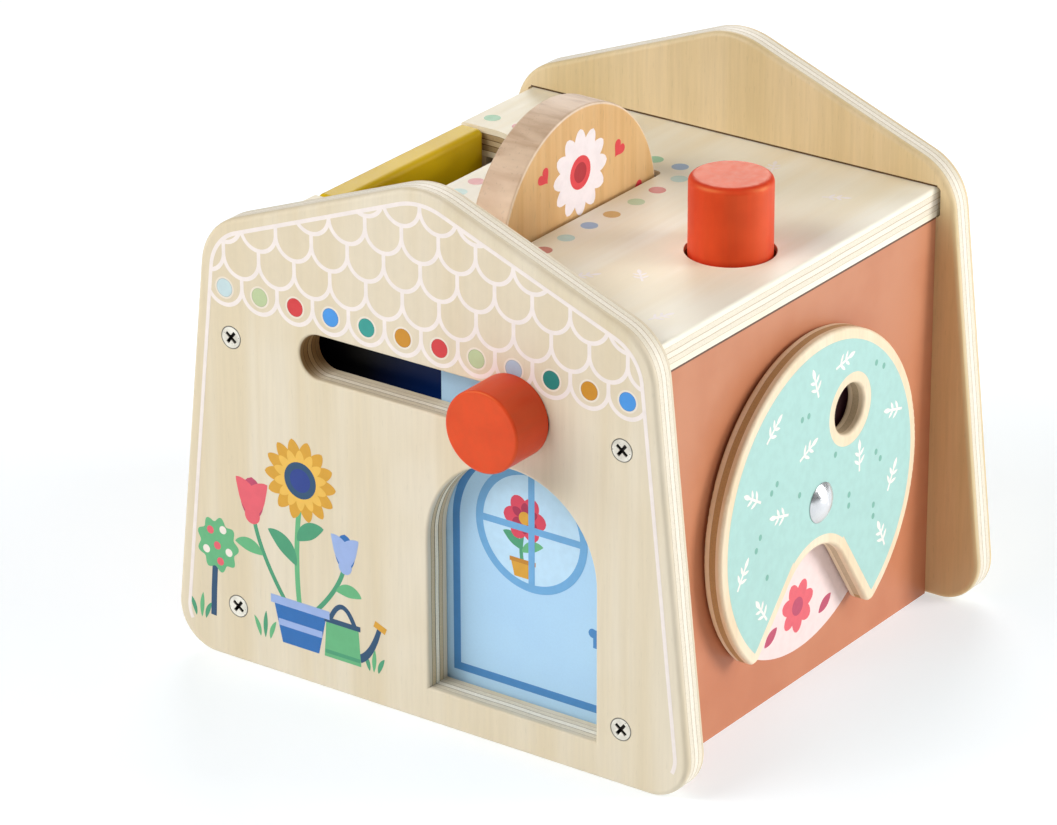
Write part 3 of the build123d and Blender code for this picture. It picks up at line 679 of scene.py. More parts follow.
border = gable_line(BORDER_INSET + BORDER_WIDTH / 2)
roof_print = [stroke(border[border[:, 1] > BORDER_LOW], BORDER_WIDTH, WHITE_LINE, 4)]

# The scales' ground: from the lower edge of the lowest row up to the border.
ground_x = np.linspace(-GROUND_SIDE, GROUND_SIDE, 700)
from_scale = ground_x - (np.floor(ground_x / SCALE_PITCH) + 0.5) * SCALE_PITCH
ground_low = SCALE_ROWS[0] + SCALE_ROUND - np.sqrt(np.maximum(SCALE_ROUND ** 2 - from_scale ** 2, 0))
upper = border[border[:, 1] > GROUND_LOW]
ground_high = np.interp(ground_x, upper[:, 0], upper[:, 1])
ground_left, ground_right = (np.stack([ground_x, edge], 1)[ground_high > ground_low + 0.1]
                             for edge in (ground_high, ground_low))
roof_print.append(strip(ground_left, ground_right, SCALE_SHADE))


def inside_runs(path):
    """The stretches of a path that lie inside the border."""
    kept = within(path, border)
    cuts = np.flatnonzero(np.diff(kept.astype(int))) + 1
    return [run for run, mask in zip(np.split(path, cuts), np.split(kept, cuts)) if mask[0] and len(run) > 2]


half_turn = ways(np.linspace(np.pi, 2 * np.pi, 41))
for row, low in enumerate(SCALE_ROWS):
    shoulder = low + SCALE_ROUND
    top = (*SCALE_ROWS, low + TOP_ROW_RISE)[row + 1]
    for column in range(-7, 8):
        middle = (column + (row + 1) % 2 / 2) * SCALE_PITCH
        right = middle + SCALE_ROUND
        for run in inside_runs((middle, shoulder) + SCALE_ROUND * half_turn):
            roof_print.append(stroke(run, SCALE_LINE, WHITE_LINE, 1 + column % 2))
        for run in inside_runs(np.linspace((right, shoulder - 0.3), (right, top), 14)):
            roof_print.append(stroke(run, SCALE_LINE, WHITE_LINE, 3))

# The dots from left to right: each lies on a pale halo, in a darker edge of its own colour.
DOT_ROW = ((192, 212, 214), (184, 198, 150), (207, 48, 52), (62, 145, 220), (40, 150, 140), (198, 134, 12),
           (207, 48, 52), (184, 198, 150), (172, 188, 206), (18, 125, 118), (198, 134, 12), (62, 145, 220))
for number, tone in enumerate(DOT_ROW):
    halo, edge = colour(240, 229, 220, 0.5), colour(*(0.86 * np.array(tone)), 0.95)
    spots = (HALO_RADIUS, halo, 5), (EDGE_RADIUS, edge, 6), (DOT_RADIUS, colour(*tone, 0.99), 7)
    for radius, shade, lift in spots:
        roof_print.append(dot((number - 5.5) * SCALE_PITCH, DOT_HEIGHT, radius, shade, lift))

front_face = "front_gable", Y, -1
front_ink = ink_on_wood("ink_on_front", *FRONT_SHEET)
lay_print("scale_print", "house", front_face, roof_print, front_ink)

# The garden picture
# A plain printed picture in the toy's own colours: a sunflower and two tulips in a tub, a can and a
# small round bush, with grass along the foot of the board. It keeps clear of the screw's head.
NAVY, CORAL, RASPBERRY = colour(32, 58, 136), colour(226, 92, 104), colour(186, 66, 98)
MUSTARD, PERIWINKLE, CREAM = colour(212, 156, 44), colour(152, 174, 220), colour(238, 226, 214)
BLUE, GREEN, LEAF = colour(34, 104, 174), colour(98, 176, 122), colour(70, 152, 112)
DARK_TEAL, SUN = colour(36, 74, 108), colour(232, 184, 78)


def petals(u, v, count, inner, outer, width, tone, lift=0, turn=0.0, fullness=0.6):
    """A ring of petals about (u, v). Neighbours lie at two levels, the last of an odd ring at a third."""
    shapes = []
    for number in range(count):
        level = 2 if count % 2 and number == count - 1 else number % 2
        along = ways(turn + 2 * math.pi * number / count)
        shapes.append(leaf((u, v) + along * inner, (u, v) + along * outer, width, tone, lift + level,
                           fullness=fullness))
    return shapes


def flower(u, v, count, inner, outer, width, tone, core_radius, core, lift=1, turn=0.0):
    """A ring of full petals round a core."""
    ring = petals(u, v, count, inner, outer, width, tone, lift, turn, fullness=0.5)
    return ring + [dot(u, v, core_radius, core, lift + 3)]


def sunflower(u, v, outer_ring, inner_ring, eye):
    """Two rings of petals, each given by where they start and end and how wide they are, and an eye of two
    spots, given by their radii."""
    rings = petals(u, v, 14, *outer_ring, MUSTARD, 1) + petals(u, v, 14, *inner_ring, SUN, 3, turn=0.22)
    return rings + [dot(u, v, eye[0], DARK_TEAL, 5), dot(u, v, eye[1], NAVY, 6)]


def stem(start, control, end, width, tone, lift=0):
    """A stalk in one bow that leans towards control."""
    return stroke(bow(start, control, end), width, tone, lift)


def tulip(u, v, size, tone, inner_tone):
    """Three petals in a cup that opens upwards, its foot at (u, v)."""
    foot, side, top = (u, v - size * 0.04), size * 0.42, v + size * 0.92
    return [
        leaf((u, v), (u, v + size), size * 0.62, inner_tone, 2, fullness=0.55),
        leaf(foot, (u - side, top), size * 0.5, tone, 3, lean=-0.28),
        leaf(foot, (u + side, top), size * 0.5, tone, 4, lean=0.28),
        dot(u, v + size * 0.12, size * 0.2, tone, 5),
    ]


def tub(u, low, bottom, top, height, tone, band):
    """A round tub seen from the side: wider at its rim, with a band round it."""
    middle, rim = (bottom + top) / 2, low + height
    belt, belt_side = low + height * 0.48, middle / 2 - 0.2
    return [
        bar((u, low), (u, rim), (bottom, middle, top), tone, 3),
        bar((u - belt_side, belt), (u + belt_side, belt), height * 0.16, band, 4),
        bar((u - top / 2 - 1, rim), (u + top / 2 + 1, rim), height * 0.2, band, 5),
    ]


garden = [stem((-44, 22), (-46, 40), (-43, 58), 1.7, GREEN), stem((-48, 22), (-58, 36), (-60, 47), 1.4, LEAF),
          stem((-40, 22), (-30, 32), (-28, 40), 1.4, LEAF)]
garden += [leaf(start, end, width, tone, 1, lean=lean) for start, end, width, tone, lean in (
    ((-45, 36), (-55, 45), 5.2, LEAF, -0.2), ((-44.5, 44), (-35, 50), 5.0, LEAF, 0.2),
    ((-57, 36), (-67, 38), 4.2, GREEN, -0.2), ((-31, 32), (-22, 32), 4.0, GREEN, 0.25))]
garden += sunflower(-43, 63, (4.0, 12.6, 4.4), (3.0, 9.4, 3.0), (5.6, 3.6))
garden += tulip(-60.5, 46, 13.5, CORAL, RASPBERRY)
garden += tulip(-27.6, 39, 11.5, PERIWINKLE, BLUE)
garden += tub(-44, 10.5, 13, 19, 13, BLUE, PERIWINKLE)
# The can: a round body with two hoops, its spout with a rose, and a bowed handle.
garden += [
    stroke([(-29, 10.5), (-29, 16), (-29, 22)], (13.0, 12.2, 11.4), GREEN, 3),
    bar((-35.4, 22.2), (-22.6, 22.2), 1.6, DARK_TEAL, 4),
    bar((-35.2, 12.2), (-22.8, 12.2), 1.2, LEAF, 4),
    stroke(bow((-23, 13), (-18.6, 15), (-15.8, 24.4)), np.linspace(2.6, 1.5, 24), DARK_TEAL, 2),
    bar((-17.6, 25.6), (-13.6, 24.0), 2.0, MUSTARD, 3),
    stroke(bow((-34, 21), (-29, 34), (-24, 21), 30), 1.5, DARK_TEAL, 2),
]
# The bush, its berries and the grass.
turns = np.linspace(0, 2 * np.pi, 120, endpoint=False)
puffs = (6.9 + 0.7 * np.cos(9 * turns))[:, None] * ways(turns) * (1, 1.15)
garden += [stroke([(-75.6, 12), (-75.2, 20), (-74.6, 28)], 2.0, DARK_TEAL),
           patch((-73.4, 35.0) + puffs, GREEN, 2)]
garden += [dot(u, v, 1.25, tone, 4) for u, v, tone in (
    (-76, 39, CORAL), (-71.4, 40, CREAM), (-73.6, 34.6, CORAL), (-69.4, 33.4, CREAM), (-77.6, 32.6, CREAM),
    (-72.6, 29.8, CORAL))]
for u, tall, lean, tone in (
        (-82, 6, -1, LEAF), (-80, 8, 0.3, GREEN), (-78.5, 5.5, 1, LEAF), (-58.5, 6, -1, GREEN),
        (-56.8, 8.5, 0.2, LEAF), (-55, 6, 1, GREEN), (-19.5, 5, -0.8, LEAF), (-18, 7, 0.2, GREEN),
        (-16.4, 5, 1, LEAF)):
    garden.append(leaf((u, 10.2), (u + lean * 2.2, 10.2 + tall), 1.5, tone, 1, lean=lean * 0.12))
lay_print("garden_print", "house", front_face, garden, front_ink)

# Prints on the roof
# A ring of coloured dots round the wheel's slot and another round the scoop, and a few small white sprigs.
# The dots' tones, and the places of the dots in each.
ROOF_DOTS = {
    (182, 216, 210): ((7.3, 34.2), (6.7, -21.1), (-21.8, -10.0), (-44.6, 37.4), (-38.4, -10.2)),
    (214, 92, 92): ((7.1, 23.4), (-16.4, 42.2), (-39.4, -29.6)),
    (190, 216, 178): ((7.3, 12.5), (-21.6, 34.0), (-7.0, -48.0), (-54.8, -42.6)),
    (216, 168, 84): ((7.1, 0.7), (-21.8, 23.0), (-16.6, -43.0), (-39.0, 28.0), (-38.2, -19.8)),
    (136, 172, 212): ((6.7, -9.8), (2.2, 42.2), (-21.8, 12.0), (-21.6, -32.0), (-38.2, 17.6), (-45.2, -38.4)),
    (126, 192, 150): ((-7.0, 42.9), (-21.8, -21.0), (-65.2, 43.1), (-38.4, 8.4)),
    (222, 132, 138): ((-21.8, 1.0), (2.2, -42.8), (-54.4, 42.2), (-39.0, -0.8), (-65.2, -43.1)),
    (198, 104, 96): ((6.8, -32.0),),
}
ROOF_DOT_RADIUS, ROOF_SPRIG_SIZE = 2.5, 8.5
# Each sprig's place and angle.
ROOF_SPRIGS = ((27.0, -40.0, 0.9), (39.0, -31.5, 2.3), (60.0, -52.0, 1.2), (24.0, 58.0, 2.0),
               (52.0, 48.0, 0.5), (-28.0, -60.0, 1.7), (-52.0, 60.0, 0.8))


def sprig(u, v, size, angle, tone, lift=0):
    """A small twig with two pairs of leaves and one at its tip."""
    along, aside = ways(angle), ways(angle + math.pi / 2)
    foot = (u, v) - along * size / 2
    shapes = [bar(foot, foot + along * size * 0.7, size * 0.075, tone, lift),
              leaf(foot + along * size * 0.62, foot + along * size, size * 0.15, tone, lift + 1)]
    for share, reach in ((0.22, 0.34), (0.48, 0.3)):
        root = foot + along * size * share
        for way in (-1, 1):
            tip = root + (along * 0.62 + aside * way * 0.78) * size * reach
            shapes.append(leaf(root, tip, size * 0.1, tone, lift + 2 + (way > 0)))
    return shapes


roof_marks = [dot(u, v, ROOF_DOT_RADIUS, colour(*tone, 0.85))
              for tone, places in ROOF_DOTS.items() for u, v in places]
for u, v, angle in ROOF_SPRIGS:
    roof_marks += sprig(u, v, ROOF_SPRIG_SIZE, angle, colour(246, 238, 236, 0.9), 1)
lay_print("roof_print", "house", ("roof_board", Z, 1), roof_marks,
          ink_on_wood("ink_on_roof", *ROOF_SHEET))

# The navy board behind the door
# Thin board glued between the walls, painted a deep navy on the side towards the door. When the door is
# open, a printed moon and a few stars show on it.
DEEP_NAVY, NEAR_BLACK = colour(0, 40, 104), colour(4, 4, 6)
DARK_LEFT, LIGHT_RIGHT, LIGHT_BELOW, DARK_ABOVE = -32.0, 2.0, 86.0, 94.0
# Each star's place and size.
NIGHT_STARS = ((36, 80, 2.2), (46, 70, 1.7), (12, 52, 1.8), (50, 52, 2.3), (28, 60, 1.5), (38, 42, 1.9),
               (18, 34, 2.2), (52, 26, 1.7), (32, 22, 2.0), (8, 20, 1.5))


def painted_board(name, node, tone, deep, seed, specular=0.45, in_dark=None):
    """Dresses a board in paint all over. in_dark gives the share of near black, which is painted shade."""
    material, add = start_finish(name, specular=specular)
    paint, stipple = rolled_paint(add, tone, deep, seed)
    if in_dark:
        paint = blend_colours(add, in_dark(add), paint, NEAR_BLACK)
    varnish(add, paint, stipple, 0.38, 0.5, 0.1)
    dress(node, material)


def ink_on_paint(name, tone, specular=0.45):
    """Screen ink on a painted ground."""
    return ink(name, lambda add: (tone, noise(add, object_place(add), STIPPLE, roughness=0.6)), specular)


def shadow_behind_slot(add):
    """The share of near black at the board's top, growing towards the left: painted shade behind the slot."""
    place = parts_of(add)
    leftward = spread(add, place[X], DARK_LEFT * mm, LIGHT_RIGHT * mm, 1.0, 0.0)
    return times(add, leftward, spread(add, place[Z], LIGHT_BELOW * mm, DARK_ABOVE * mm))


# Its top left, seen through the slot, runs to near black: painted shade.
painted_board("navy_paint", "backing_board", DEEP_NAVY, colour(0, 36, 95), 1.0, specular=0.2,
              in_dark=shadow_behind_slot)
moon_turn, moon_width = np.linspace(0.55 * np.pi, 1.75 * np.pi, 40), np.sin(np.linspace(0, np.pi, 40))
night = [stroke((18, 74) + 7 * ways(moon_turn), 0.3 + 4.2 * moon_width, colour(236, 208, 120), 1)]
for u, v, size in NIGHT_STARS:
    night += petals(u, v, 5, 0.15, size, size * 0.55, colour(236, 232, 214), turn=math.pi / 2, fullness=1.0)
lay_print("night_print", "house", ("backing_board", Y, -1), night,
          ink_on_paint("ink_on_navy", DEEP_NAVY, specular=0.2))

# The sliding door
# A 4 mm board painted light blue all over. A line runs round it like a frame, and the round window with
# its cross of bars, the pot plant behind it and the handle are printed on it.
DOOR_BLUE, LINE_BLUE, PANE = colour(173, 211, 239), colour(66, 131, 190), colour(187, 220, 242)
RING_BLUE = colour(106, 166, 213)
# The frame line's sides, its low end, the height where its arch starts, and its width.
FRAME_LEFT, FRAME_RIGHT, FRAME_LOW, FRAME_SPRING, FRAME_LINE = 4.4, 54.8, 14.9, 61.0, 2.4
WINDOW, WINDOW_RADIUS, WINDOW_BAR, BLOOM = np.array([30.0, 63.7]), 17.6, 2.1, (27.8, 66.8)
painted_board("door_paint", "door_panel", DOOR_BLUE, colour(170, 208, 238), 2.0)
circle = ways(turns)
frame_radius = (FRAME_RIGHT - FRAME_LEFT) / 2
frame_line = np.vstack([
    np.linspace((FRAME_LEFT, FRAME_LOW), (FRAME_LEFT, FRAME_SPRING), 20),
    (FRAME_LEFT + frame_radius, FRAME_SPRING + 0.5) + frame_radius * ways(np.linspace(np.pi, 0, 60)),
    np.linspace((FRAME_RIGHT, FRAME_SPRING), (FRAME_RIGHT, FRAME_LOW), 20)])
door_shapes = [stroke(frame_line, FRAME_LINE, LINE_BLUE),
               bar((3.2, 15.2), (56.0, 15.2), FRAME_LINE, LINE_BLUE, 1),
               patch(WINDOW + (WINDOW_RADIUS - 0.2) * circle, PANE)]
# The pot plant stands on the sill and keeps inside the window's ring.
door_shapes += [stem((27, 53), (25.8, 58), (27.6, 64), 1.2, LEAF, 1),
                leaf((26.8, 57), (20.4, 61.4), 3.4, LEAF, 2, lean=-0.2),
                leaf((26.8, 56.4), (34, 59.6), 3.2, GREEN, 2, lean=0.2)]
door_shapes += petals(*BLOOM, 6, 1.2, 7.2, 5.4, colour(214, 62, 86), 4, fullness=0.5)
door_shapes += petals(*BLOOM, 6, 1.0, 4.8, 2.6, colour(164, 38, 74), 6, turn=0.5)
door_shapes += [dot(*BLOOM, 2.0, MUSTARD, 8), bar((27, 48.6), (27, 53.4), (5.6, 6.8, 8.0), MUSTARD, 3),
                bar((22.6, 53.6), (31.4, 53.6), 1.3, colour(190, 128, 34), 4)]
# The window's ring and cross, and the handle with its stop.
door_shapes += [stroke(WINDOW + WINDOW_RADIUS * circle, FRAME_LINE, RING_BLUE, 12, closed=True),
                bar((30.05, 46.6), (30.05, 80.8), WINDOW_BAR, RING_BLUE, 11),
                bar((13.0, 63.8), (47.0, 63.8), WINDOW_BAR, RING_BLUE, 10),
                bar((51.9, 33.8), (51.9, 39.4), 2.3, LINE_BLUE, 2), dot(50.6, 38.2, 1.4, LINE_BLUE, 3)]
lay_print("door_print", "door", ("door_panel", Y, -1), door_shapes,
          ink_on_paint("ink_on_door", DOOR_BLUE))

# The door's knob and the push peg
# Turned beech rod under a coat of orange-red enamel. The grain telegraphs faintly through the enamel,
# and the ends have a rounded arris that catches the light.
RED_WOOD, RED_DEEP = colour(219, 58, 30), colour(211, 51, 27)
ENAMEL_SHEEN, ENAMEL_IOR = colour(255, 212, 122), 1.56


def enamelled_wood(name, node, along, seed):
    """Dresses turned wood in gloss enamel: faint long fibres under a smooth film."""
    material, add = start_finish(name, specular=0.8)
    add("shader", {"Specular Tint": ENAMEL_SHEEN, "IOR": ENAMEL_IOR})
    where = object_place(add)
    fibres = noise(add, stretched(add, where, lengthwise(along, 0.06), (seed, 0, 0)), 620.0, detail=3.0)
    shade = clouded(add, where, 85.0, RED_WOOD, RED_DEEP)
    varnish(add, modulated(add, shade, fibres, 0.3, 0.7, 0.97, 1.02), fibres, 0.42, 0.52, 0.08)
    dress(node, material)


enamelled_wood("red_knob", "door_knob", Y, 1.0)
enamelled_wood("red_peg", "push_peg", Z, 4.0)

# The picture wheel
# One round of solid beech, 12 mm thick, turned and sanded. The growth rings lie upright across the face,
# and the rim cuts through them as brownish end grain. Flowers and hearts are printed on both faces.
BEECH_PALE, BEECH_DEEP = colour(221, 183, 128), colour(214, 173, 116)
RIM_PALE, RIM_DEEP = colour(219, 191, 163), colour(198, 166, 137)
ARRIS_HIGHLIGHT = colour(246, 226, 200)
# How far inside the rim the painted highlight on the arris starts, is palest and ends.
HIGHLIGHT_START, HIGHLIGHT_PALEST, HIGHLIGHT_END = 0.9, 0.35, 0.1


def middle_of(node, axis):
    """The middle of a CAD node along an axis, in mm."""
    return sum(extent(node, axis)) / 2


WHEEL_Y, WHEEL_Z = middle_of("picture_wheel", Y), middle_of("picture_wheel", Z)
WHEEL_RADIUS = extent("picture_wheel", Z)[1] - WHEEL_Z


def reach_about(add, y, z):
    """How far a place is from the line along X through y and z, which are given in mm."""
    away = vector_node(add, "SUBTRACT", object_place(add), (0, y * mm, z * mm))
    return vector_node(add, "LENGTH", vector_node(add, "MULTIPLY", away, (0, 1, 1)), out="Value")


def beech_tone(add):
    """Colour and relief of solid beech: growth rings upright and a little uneven, long fibres, short dark
    flecks, on the rim the browner tone of end grain, and a painted highlight along the arris at the face."""
    where = object_place(add)
    upright = stretched(add, where, (0.22, 1.0, 0.035))
    rings = noise(add, upright, 210.0, detail=3.0, roughness=0.6, distortion=0.3)
    lines = noise(add, stretched(add, where, (0.22, 1.0, 0.02), (2, 0, 0)), 640.0)
    flecks = noise(add, stretched(add, where, lengthwise(Z, 0.16)), 1500.0, detail=1.0)
    radius = reach_about(add, WHEEL_Y, WHEEL_Z)
    palest = (WHEEL_RADIUS - HIGHLIGHT_PALEST) * mm
    on_rim = spread(add, radius, (WHEEL_RADIUS - HIGHLIGHT_START) * mm, palest)
    past = spread(add, radius, palest, (WHEEL_RADIUS - HIGHLIGHT_END) * mm)
    ringed = spread(add, rings, 0.36, 0.66)
    tone = blend_colours(add, on_rim, blend_colours(add, ringed, BEECH_PALE, BEECH_DEEP),
                         blend_colours(add, ringed, RIM_PALE, RIM_DEEP))
    tone = blend_colours(add, times(add, math_node(add, "SUBTRACT", on_rim, past), 0.75), tone, ARRIS_HIGHLIGHT)
    tone = modulated(add, tone, lines, 0.3, 0.72, 1.02, 0.965)
    tone = modulated(add, tone, flecks, 0.63, 0.74, 1.0, 0.88)
    return tone, math_node(add, "SUBTRACT", lines, spread(add, flecks, 0.63, 0.74))


beech, beech_add = start_finish("solid_beech", specular=0.4)
varnish(beech_add, *beech_tone(beech_add))
dress("picture_wheel", beech)
ink_on_beech = ink("ink_on_beech", beech_tone)

PETAL_WHITE, CHERRY, DEEP_CHERRY = colour(243, 238, 242), colour(222, 62, 72), colour(176, 34, 50)
PICTURE_REACH, HEART_SIZE = 18.5, 5.6


def heart(u, v, size, angle):
    """A heart about (u, v): x = 16 sin^3 t, y = 13 cos t - 5 cos 2t - 2 cos 3t - cos 4t, 32 wide, brought to
    size and turned."""
    t = np.linspace(0, 2 * np.pi, 60, endpoint=False)[::-1]
    high = 13 * np.cos(t) - 5 * np.cos(2 * t) - 2 * np.cos(3 * t) - np.cos(4 * t)
    points = np.stack([16 * np.sin(t) ** 3, high], 1) * size / 32
    turn = ways(np.array([angle, angle + math.pi / 2]))
    return patch(points @ turn + [u, v], CHERRY, 2, centre=(u, v))


def wheel_shapes(middle):
    """Three pictures round the wheel, a third of a turn apart, with hearts between them."""
    centre, upright = np.array([middle, WHEEL_Z]), math.pi / 2
    u, v = centre + (0, PICTURE_REACH)
    shapes = flower(u, v, 12, 3.0, 13.0, 5.6, PETAL_WHITE, 5.0, CHERRY) + [dot(u, v, 3.0, DEEP_CHERRY, 5)]
    for degrees, tone, core in ((120, PERIWINKLE, MUSTARD), (240, CORAL, CREAM)):
        angle = upright + math.radians(degrees)
        u, v = centre + PICTURE_REACH * ways(angle)
        shapes += flower(u, v, 8, 2.4, 11.5, 6.4, tone, 4.2, core, turn=angle)
    for degrees, reach in ((38, 28.5), (-44, 27.5), (82, 29), (-82, 29), (160, 28), (200, 28.5)):
        angle = math.radians(degrees)
        u, v = centre + reach * ways(upright + angle)
        shapes.append(heart(u, v, HEART_SIZE, angle))
    return shapes


for side, way in ("right", 1), ("left", -1):
    lay_print(f"wheel_print_{side}", "wheel", ("picture_wheel", X, way), wheel_shapes(way * WHEEL_Y),
              ink_on_beech)

# Steel rods and washers, and white plastic
# The wheel's axle, the pins of the peg and the flap and the disc's two washers are steel. The wheel's spacer
# rings and the peg's cup are moulded plastic.
drawn_steel = metal("drawn_steel", colour(206, 206, 206), colour(178, 178, 180), 0.26, 0.4, (0.05, 1, 1))
for part in ("wheel_axle", "peg_pin", "flap_pins", "disc_spacer", "pivot_washer"):
    dress(part, drawn_steel)


def moulded(name, tone, deep):
    """Moulded plastic with the fine spark-eroded grain of its mould."""
    material, add = start_finish(name, specular=0.5)
    where = object_place(add)
    grain = noise(add, where, 2600.0)
    varnish(add, blend_colours(add, noise(add, where, 70.0), tone, deep), grain, 0.4, 0.52, 0.1)
    return material


white_plastic = moulded("white_plastic", colour(232, 230, 224), colour(224, 221, 214))
for part in ("wheel_spacers", "peg_cup"):
    dress(part, white_plastic)

# The peg's spring
# One length of steel wire wound into six turns. It stands in the cup and pushes the peg up.
SPRING_FOOT, SPRING_LENGTH, SPRING_PRESSED = np.array([49.0, -2.0, 77.5]), 26.0, 8.0
SPRING_REACH, WIRE_RADIUS, SPRING_TURNS, SPRING_GAP = 9.0, 0.5, 6, 0.3
WIRE_STEPS, WIRE_SIDES = 36, 10


def wound_wire():
    """The wire's middle line is (r cos t, r sin t, c t). Round each place on it stand the points
    w (cos a out + sin a across), where out is (cos t, sin t, 0) and across is square to out and the line."""
    t = np.linspace(0, 2 * np.pi * SPRING_TURNS, SPRING_TURNS * WIRE_STEPS + 1)[:, None]
    rise = (SPRING_LENGTH - 2 * SPRING_GAP - 2 * WIRE_RADIUS) / t[-1, 0]
    out = np.hstack([np.cos(t), np.sin(t), 0 * t])
    line = SPRING_REACH * out + np.hstack([0 * t, 0 * t, rise * t + SPRING_GAP + WIRE_RADIUS])
    along = np.hstack([-SPRING_REACH * np.sin(t), SPRING_REACH * np.cos(t), 0 * t + rise])
    across = np.cross(along / np.linalg.norm(along, axis=1, keepdims=True), out)
    a = np.linspace(0, 2 * np.pi, WIRE_SIDES, endpoint=False)[None, :, None]
    points = line[:, None] + WIRE_RADIUS * (np.cos(a) * out[:, None] + np.sin(a) * across[:, None])
    last = (len(t) - 1) * WIRE_SIDES
    ring, side = np.meshgrid(np.arange(0, last, WIRE_SIDES), np.arange(WIRE_SIDES), indexing="ij")
    after, following = (side + 1) % WIRE_SIDES, ring + WIRE_SIDES
    walls = np.stack([ring + side, ring + after, following + after, following + side], -1).reshape(-1, 4)
    ends = [list(range(WIRE_SIDES))[::-1], list(range(last, last + WIRE_SIDES))]
    return points.reshape(-1, 3), walls.tolist() + ends


spring_points, spring_faces = wound_wire()
spring = build_object("coil_spring", ((spring_points + SPRING_FOOT) * mm).tolist(), spring_faces, drawn_steel)
spring.data.shade_smooth()
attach(spring, "house")
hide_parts("peg_spring")
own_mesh(spring)

# The turning disc
# Plywood of three plies, 6 mm thick, routed with its wedge and finger hole and rounded along every edge.
# Turquoise ink covers the face up to a bare margin, with small white sprigs and green specks on it.
DISC_Y = middle_of("turning_disc", Y)
DISC_RADIUS = extent("turning_disc", Y)[1] - DISC_Y
# The wedge cuts the disc's lower end away, so its middle is found from its upper end.
DISC_Z = extent("turning_disc", Z)[1] - DISC_RADIUS
DISC_MIDDLE = np.array([DISC_Y, DISC_Z])
HOLE_OFFSET, HOLE_ANGLE, HOLE_RING = 27.5, math.radians(58.6), 10.9
WEDGE_APEX, WEDGE_HALF, WEDGE_WAY = np.array([0.0, -2.6]), math.radians(38), math.radians(-94)
APEX_RADIUS, MARGIN, CUT_REACH = 17.4, 3.2, 46.5
RAYS, RAY_STEPS, RAY_END = 2400, 900, 80
TURQUOISE, SPRIG_WHITE = colour(170, 210, 202), colour(248, 238, 230, 0.95)
SPECK_GREEN = colour(112, 172, 154, 0.9)
DISC_TONES = colour(214, 192, 154), colour(190, 154, 106), colour(244, 229, 200)
DISC_CUT_TONES = colour(214, 194, 162), colour(206, 184, 150), colour(238, 222, 194)
DISC_GLUE, DISC_CUT_GLUE = colour(178, 142, 104), colour(186, 162, 128)
DISC_SPRIG_SIZE, SPECK_RADIUS = 10.0, 0.8
DISC_SHEET = Z, colour(243, 225, 196), colour(236, 213, 178), 31.0
# Each sprig and speck: how far it is from the disc's middle, at how many degrees, and the sprig's own angle.
DISC_SPRIGS = ((38, 96, 1.9), (40, 128, 0.7), (38, 158, 2.6), (40, 190, 1.0), (37, 216, 2.2), (40, 22, 2.9),
               (38, -8, 1.1), (39, -34, 2.0), (20, 110, 0.4), (21, 20, 1.6), (22, 170, 2.9), (41, 74, 0.2))
DISC_SPECKS = ((30, 104), (31, 110), (27, 148), (28.5, 154), (31, 178), (33, 184), (30, 205), (31, 4),
               (29, 10), (30, -22), (31.5, -28), (14, 60), (13, 150), (15, -12), (16, -24), (43, 50),
               (44, 44))


def within_disc(add):
    """1 nearer the disc's middle than its rim, where the wedge and the hole are cut, and 0 at the rim."""
    return math_node(add, "LESS_THAN", reach_about(add, DISC_Y, DISC_Z), CUT_REACH * mm)


def wedge_gap(points):
    """How far points are outside the wedge, below 0 within it: the greater of the distances past its two
    sides, with its apex rounded by moving both in by the radius and taking the distance to their meeting."""
    side_normals = ways(WEDGE_WAY + np.array([1, -1]) * (WEDGE_HALF + math.pi / 2))
    past = (points - WEDGE_APEX) @ side_normals.T + APEX_RADIUS
    centre = WEDGE_APEX + APEX_RADIUS / math.sin(WEDGE_HALF) * ways(WEDGE_WAY)
    behind = (points - centre) @ -ways(WEDGE_WAY)
    rounded = np.linalg.norm(points - centre, axis=-1)
    near_apex = (past > 0).all(-1) & (behind > 0)
    return np.where(near_apex, rounded, past.max(-1)) - APEX_RADIUS


def on_disc(reach, degrees):
    """A place on the disc's face, reach mm from its middle."""
    return DISC_MIDDLE + reach * ways(math.radians(degrees))


plywood("disc_ply", "turning_disc", X, *DISC_SHEET, tones=DISC_TONES, glue=DISC_GLUE,
        routed=(within_disc, DISC_CUT_TONES, DISC_CUT_GLUE, NO_GAP_SHADE))
# The paint is a ring: from the bare edge of the hole outward along each ray, while a point is a margin inside
# the disc's edge and a margin outside the wedge.
hole = HOLE_OFFSET * ways(HOLE_ANGLE)
rays = ways(np.linspace(0, 2 * np.pi, RAYS, endpoint=False))
reaches = np.linspace(HOLE_RING + 0.5, RAY_END, RAY_STEPS)
along_rays = hole + rays[:, None, :] * reaches[None, :, None]
room_left = np.minimum(DISC_RADIUS - np.linalg.norm(along_rays, axis=-1), wedge_gap(along_rays)) - MARGIN
first_out = (room_left < 0).argmax(1)
before_out = np.take_along_axis(room_left, first_out[:, None] - 1, 1)[:, 0]
after_out = np.take_along_axis(room_left, first_out[:, None], 1)[:, 0]
exact = reaches[first_out - 1] + (reaches[1] - reaches[0]) * before_out / (before_out - after_out)
hole_middle = DISC_MIDDLE + hole
outer = hole_middle + rays * exact[:, None]
disc_shapes = [strip(hole_middle + rays * HOLE_RING, outer, TURQUOISE, closed=True)]
for reach, degrees, angle in DISC_SPRIGS:
    disc_shapes += sprig(*on_disc(reach, degrees), DISC_SPRIG_SIZE, angle, SPRIG_WHITE, 2)
for reach, degrees in DISC_SPECKS:
    disc_shapes.append(dot(*on_disc(reach, degrees), SPECK_RADIUS, SPECK_GREEN, 2, flat=1.2, count=16))
lay_print("disc_print", "disc", ("turning_disc", X, 1), disc_shapes,
          ink("turquoise_ink", lambda add: (TURQUOISE, veneer(add, *DISC_SHEET)[1]), 0.45))

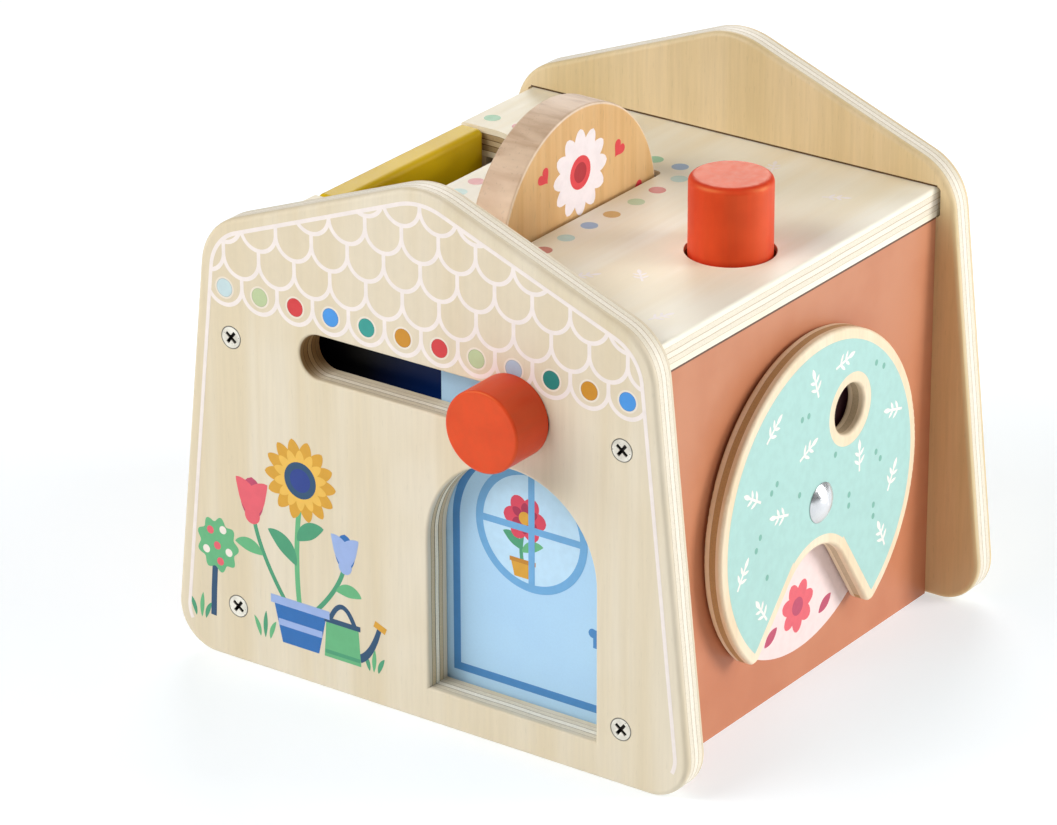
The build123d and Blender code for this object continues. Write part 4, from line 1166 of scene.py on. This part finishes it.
# The picture behind the disc
# A pale pink round printed on the wall, a little smaller than the disc, with flowers that the wedge uncovers
# in turn. A dark plum round, painted shade standing for the hole's shadow, lies where the finger hole is
# when the disc is at rest.
PINK, HOLE_SHADE = colour(240, 218, 214), colour(52, 22, 30)
PINK_RADIUS, HOLE_SHADE_RADIUS, FLOWER_REACH, LEAF_REACH = 47.5, 10.4, 34, 41
wall_shapes = [patch(DISC_MIDDLE + PINK_RADIUS * circle, PINK, centre=DISC_MIDDLE),
               dot(*hole_middle, HOLE_SHADE_RADIUS, HOLE_SHADE, 2, count=60)]
for degrees, tone, core in ((-91, CORAL, RASPBERRY), (-28, MUSTARD, CREAM), (12, PERIWINKLE, NAVY),
                            (112, CORAL, MUSTARD), (180, GREEN, CREAM)):
    angle = math.radians(degrees)
    wall_shapes += flower(*on_disc(FLOWER_REACH, degrees), 7, 1.4, 8.2, 5.0, tone, 2.8, core, 2, angle)
    for way in (-0.34, 0.36):
        u, v = DISC_MIDDLE + LEAF_REACH * ways(angle + way)
        wall_shapes.append(leaf((u - 3.2, v - 2), (u + 3.2, v + 2), 3.6, RASPBERRY, 1))
lay_print("wall_print", "house", ("right_wall", X, 1), wall_shapes,
          ink_on_paint("ink_on_wall", PINK))

# The disc's pivot
# A chromed sleeve nut whose domed cap holds the disc, so that it turns freely.
dress("disc_pivot", metal("chrome", colour(238, 238, 239), colour(220, 221, 224), 0.2, 0.27, grains=500.0,
                          metallic=0.8))

# The flap door
# Plywood painted a strong yellow on every side, with rounded edges, that tilts out on two steel pins.
painted_board("yellow_paint", "flap_door", colour(218, 183, 3), colour(210, 173, 2), 6.0, specular=0.3)

# The board behind the flap
# Thin birch plywood with a printed sunflower, which shows when the flap is tilted out.
PICTURE_SHEET = Z, *BIRCH, 41.0
plywood("picture_ply", "picture_board", X, *PICTURE_SHEET)
flap_picture = [stem((0, 36), (-2, 52), (0, 70), 2.0, GREEN),
                leaf((-1, 48), (-16, 58), 7.5, LEAF, 1, lean=-0.2),
                leaf((-1, 44), (14, 53), 7.5, GREEN, 1, lean=0.2)]
flap_picture += sunflower(0, 80, (6, 19, 6.6), (5, 14, 4.6), (8.2, 5.2))
lay_print("flap_print", "house", ("picture_board", X, -1), flap_picture,
          ink_on_wood("ink_on_picture", *PICTURE_SHEET))
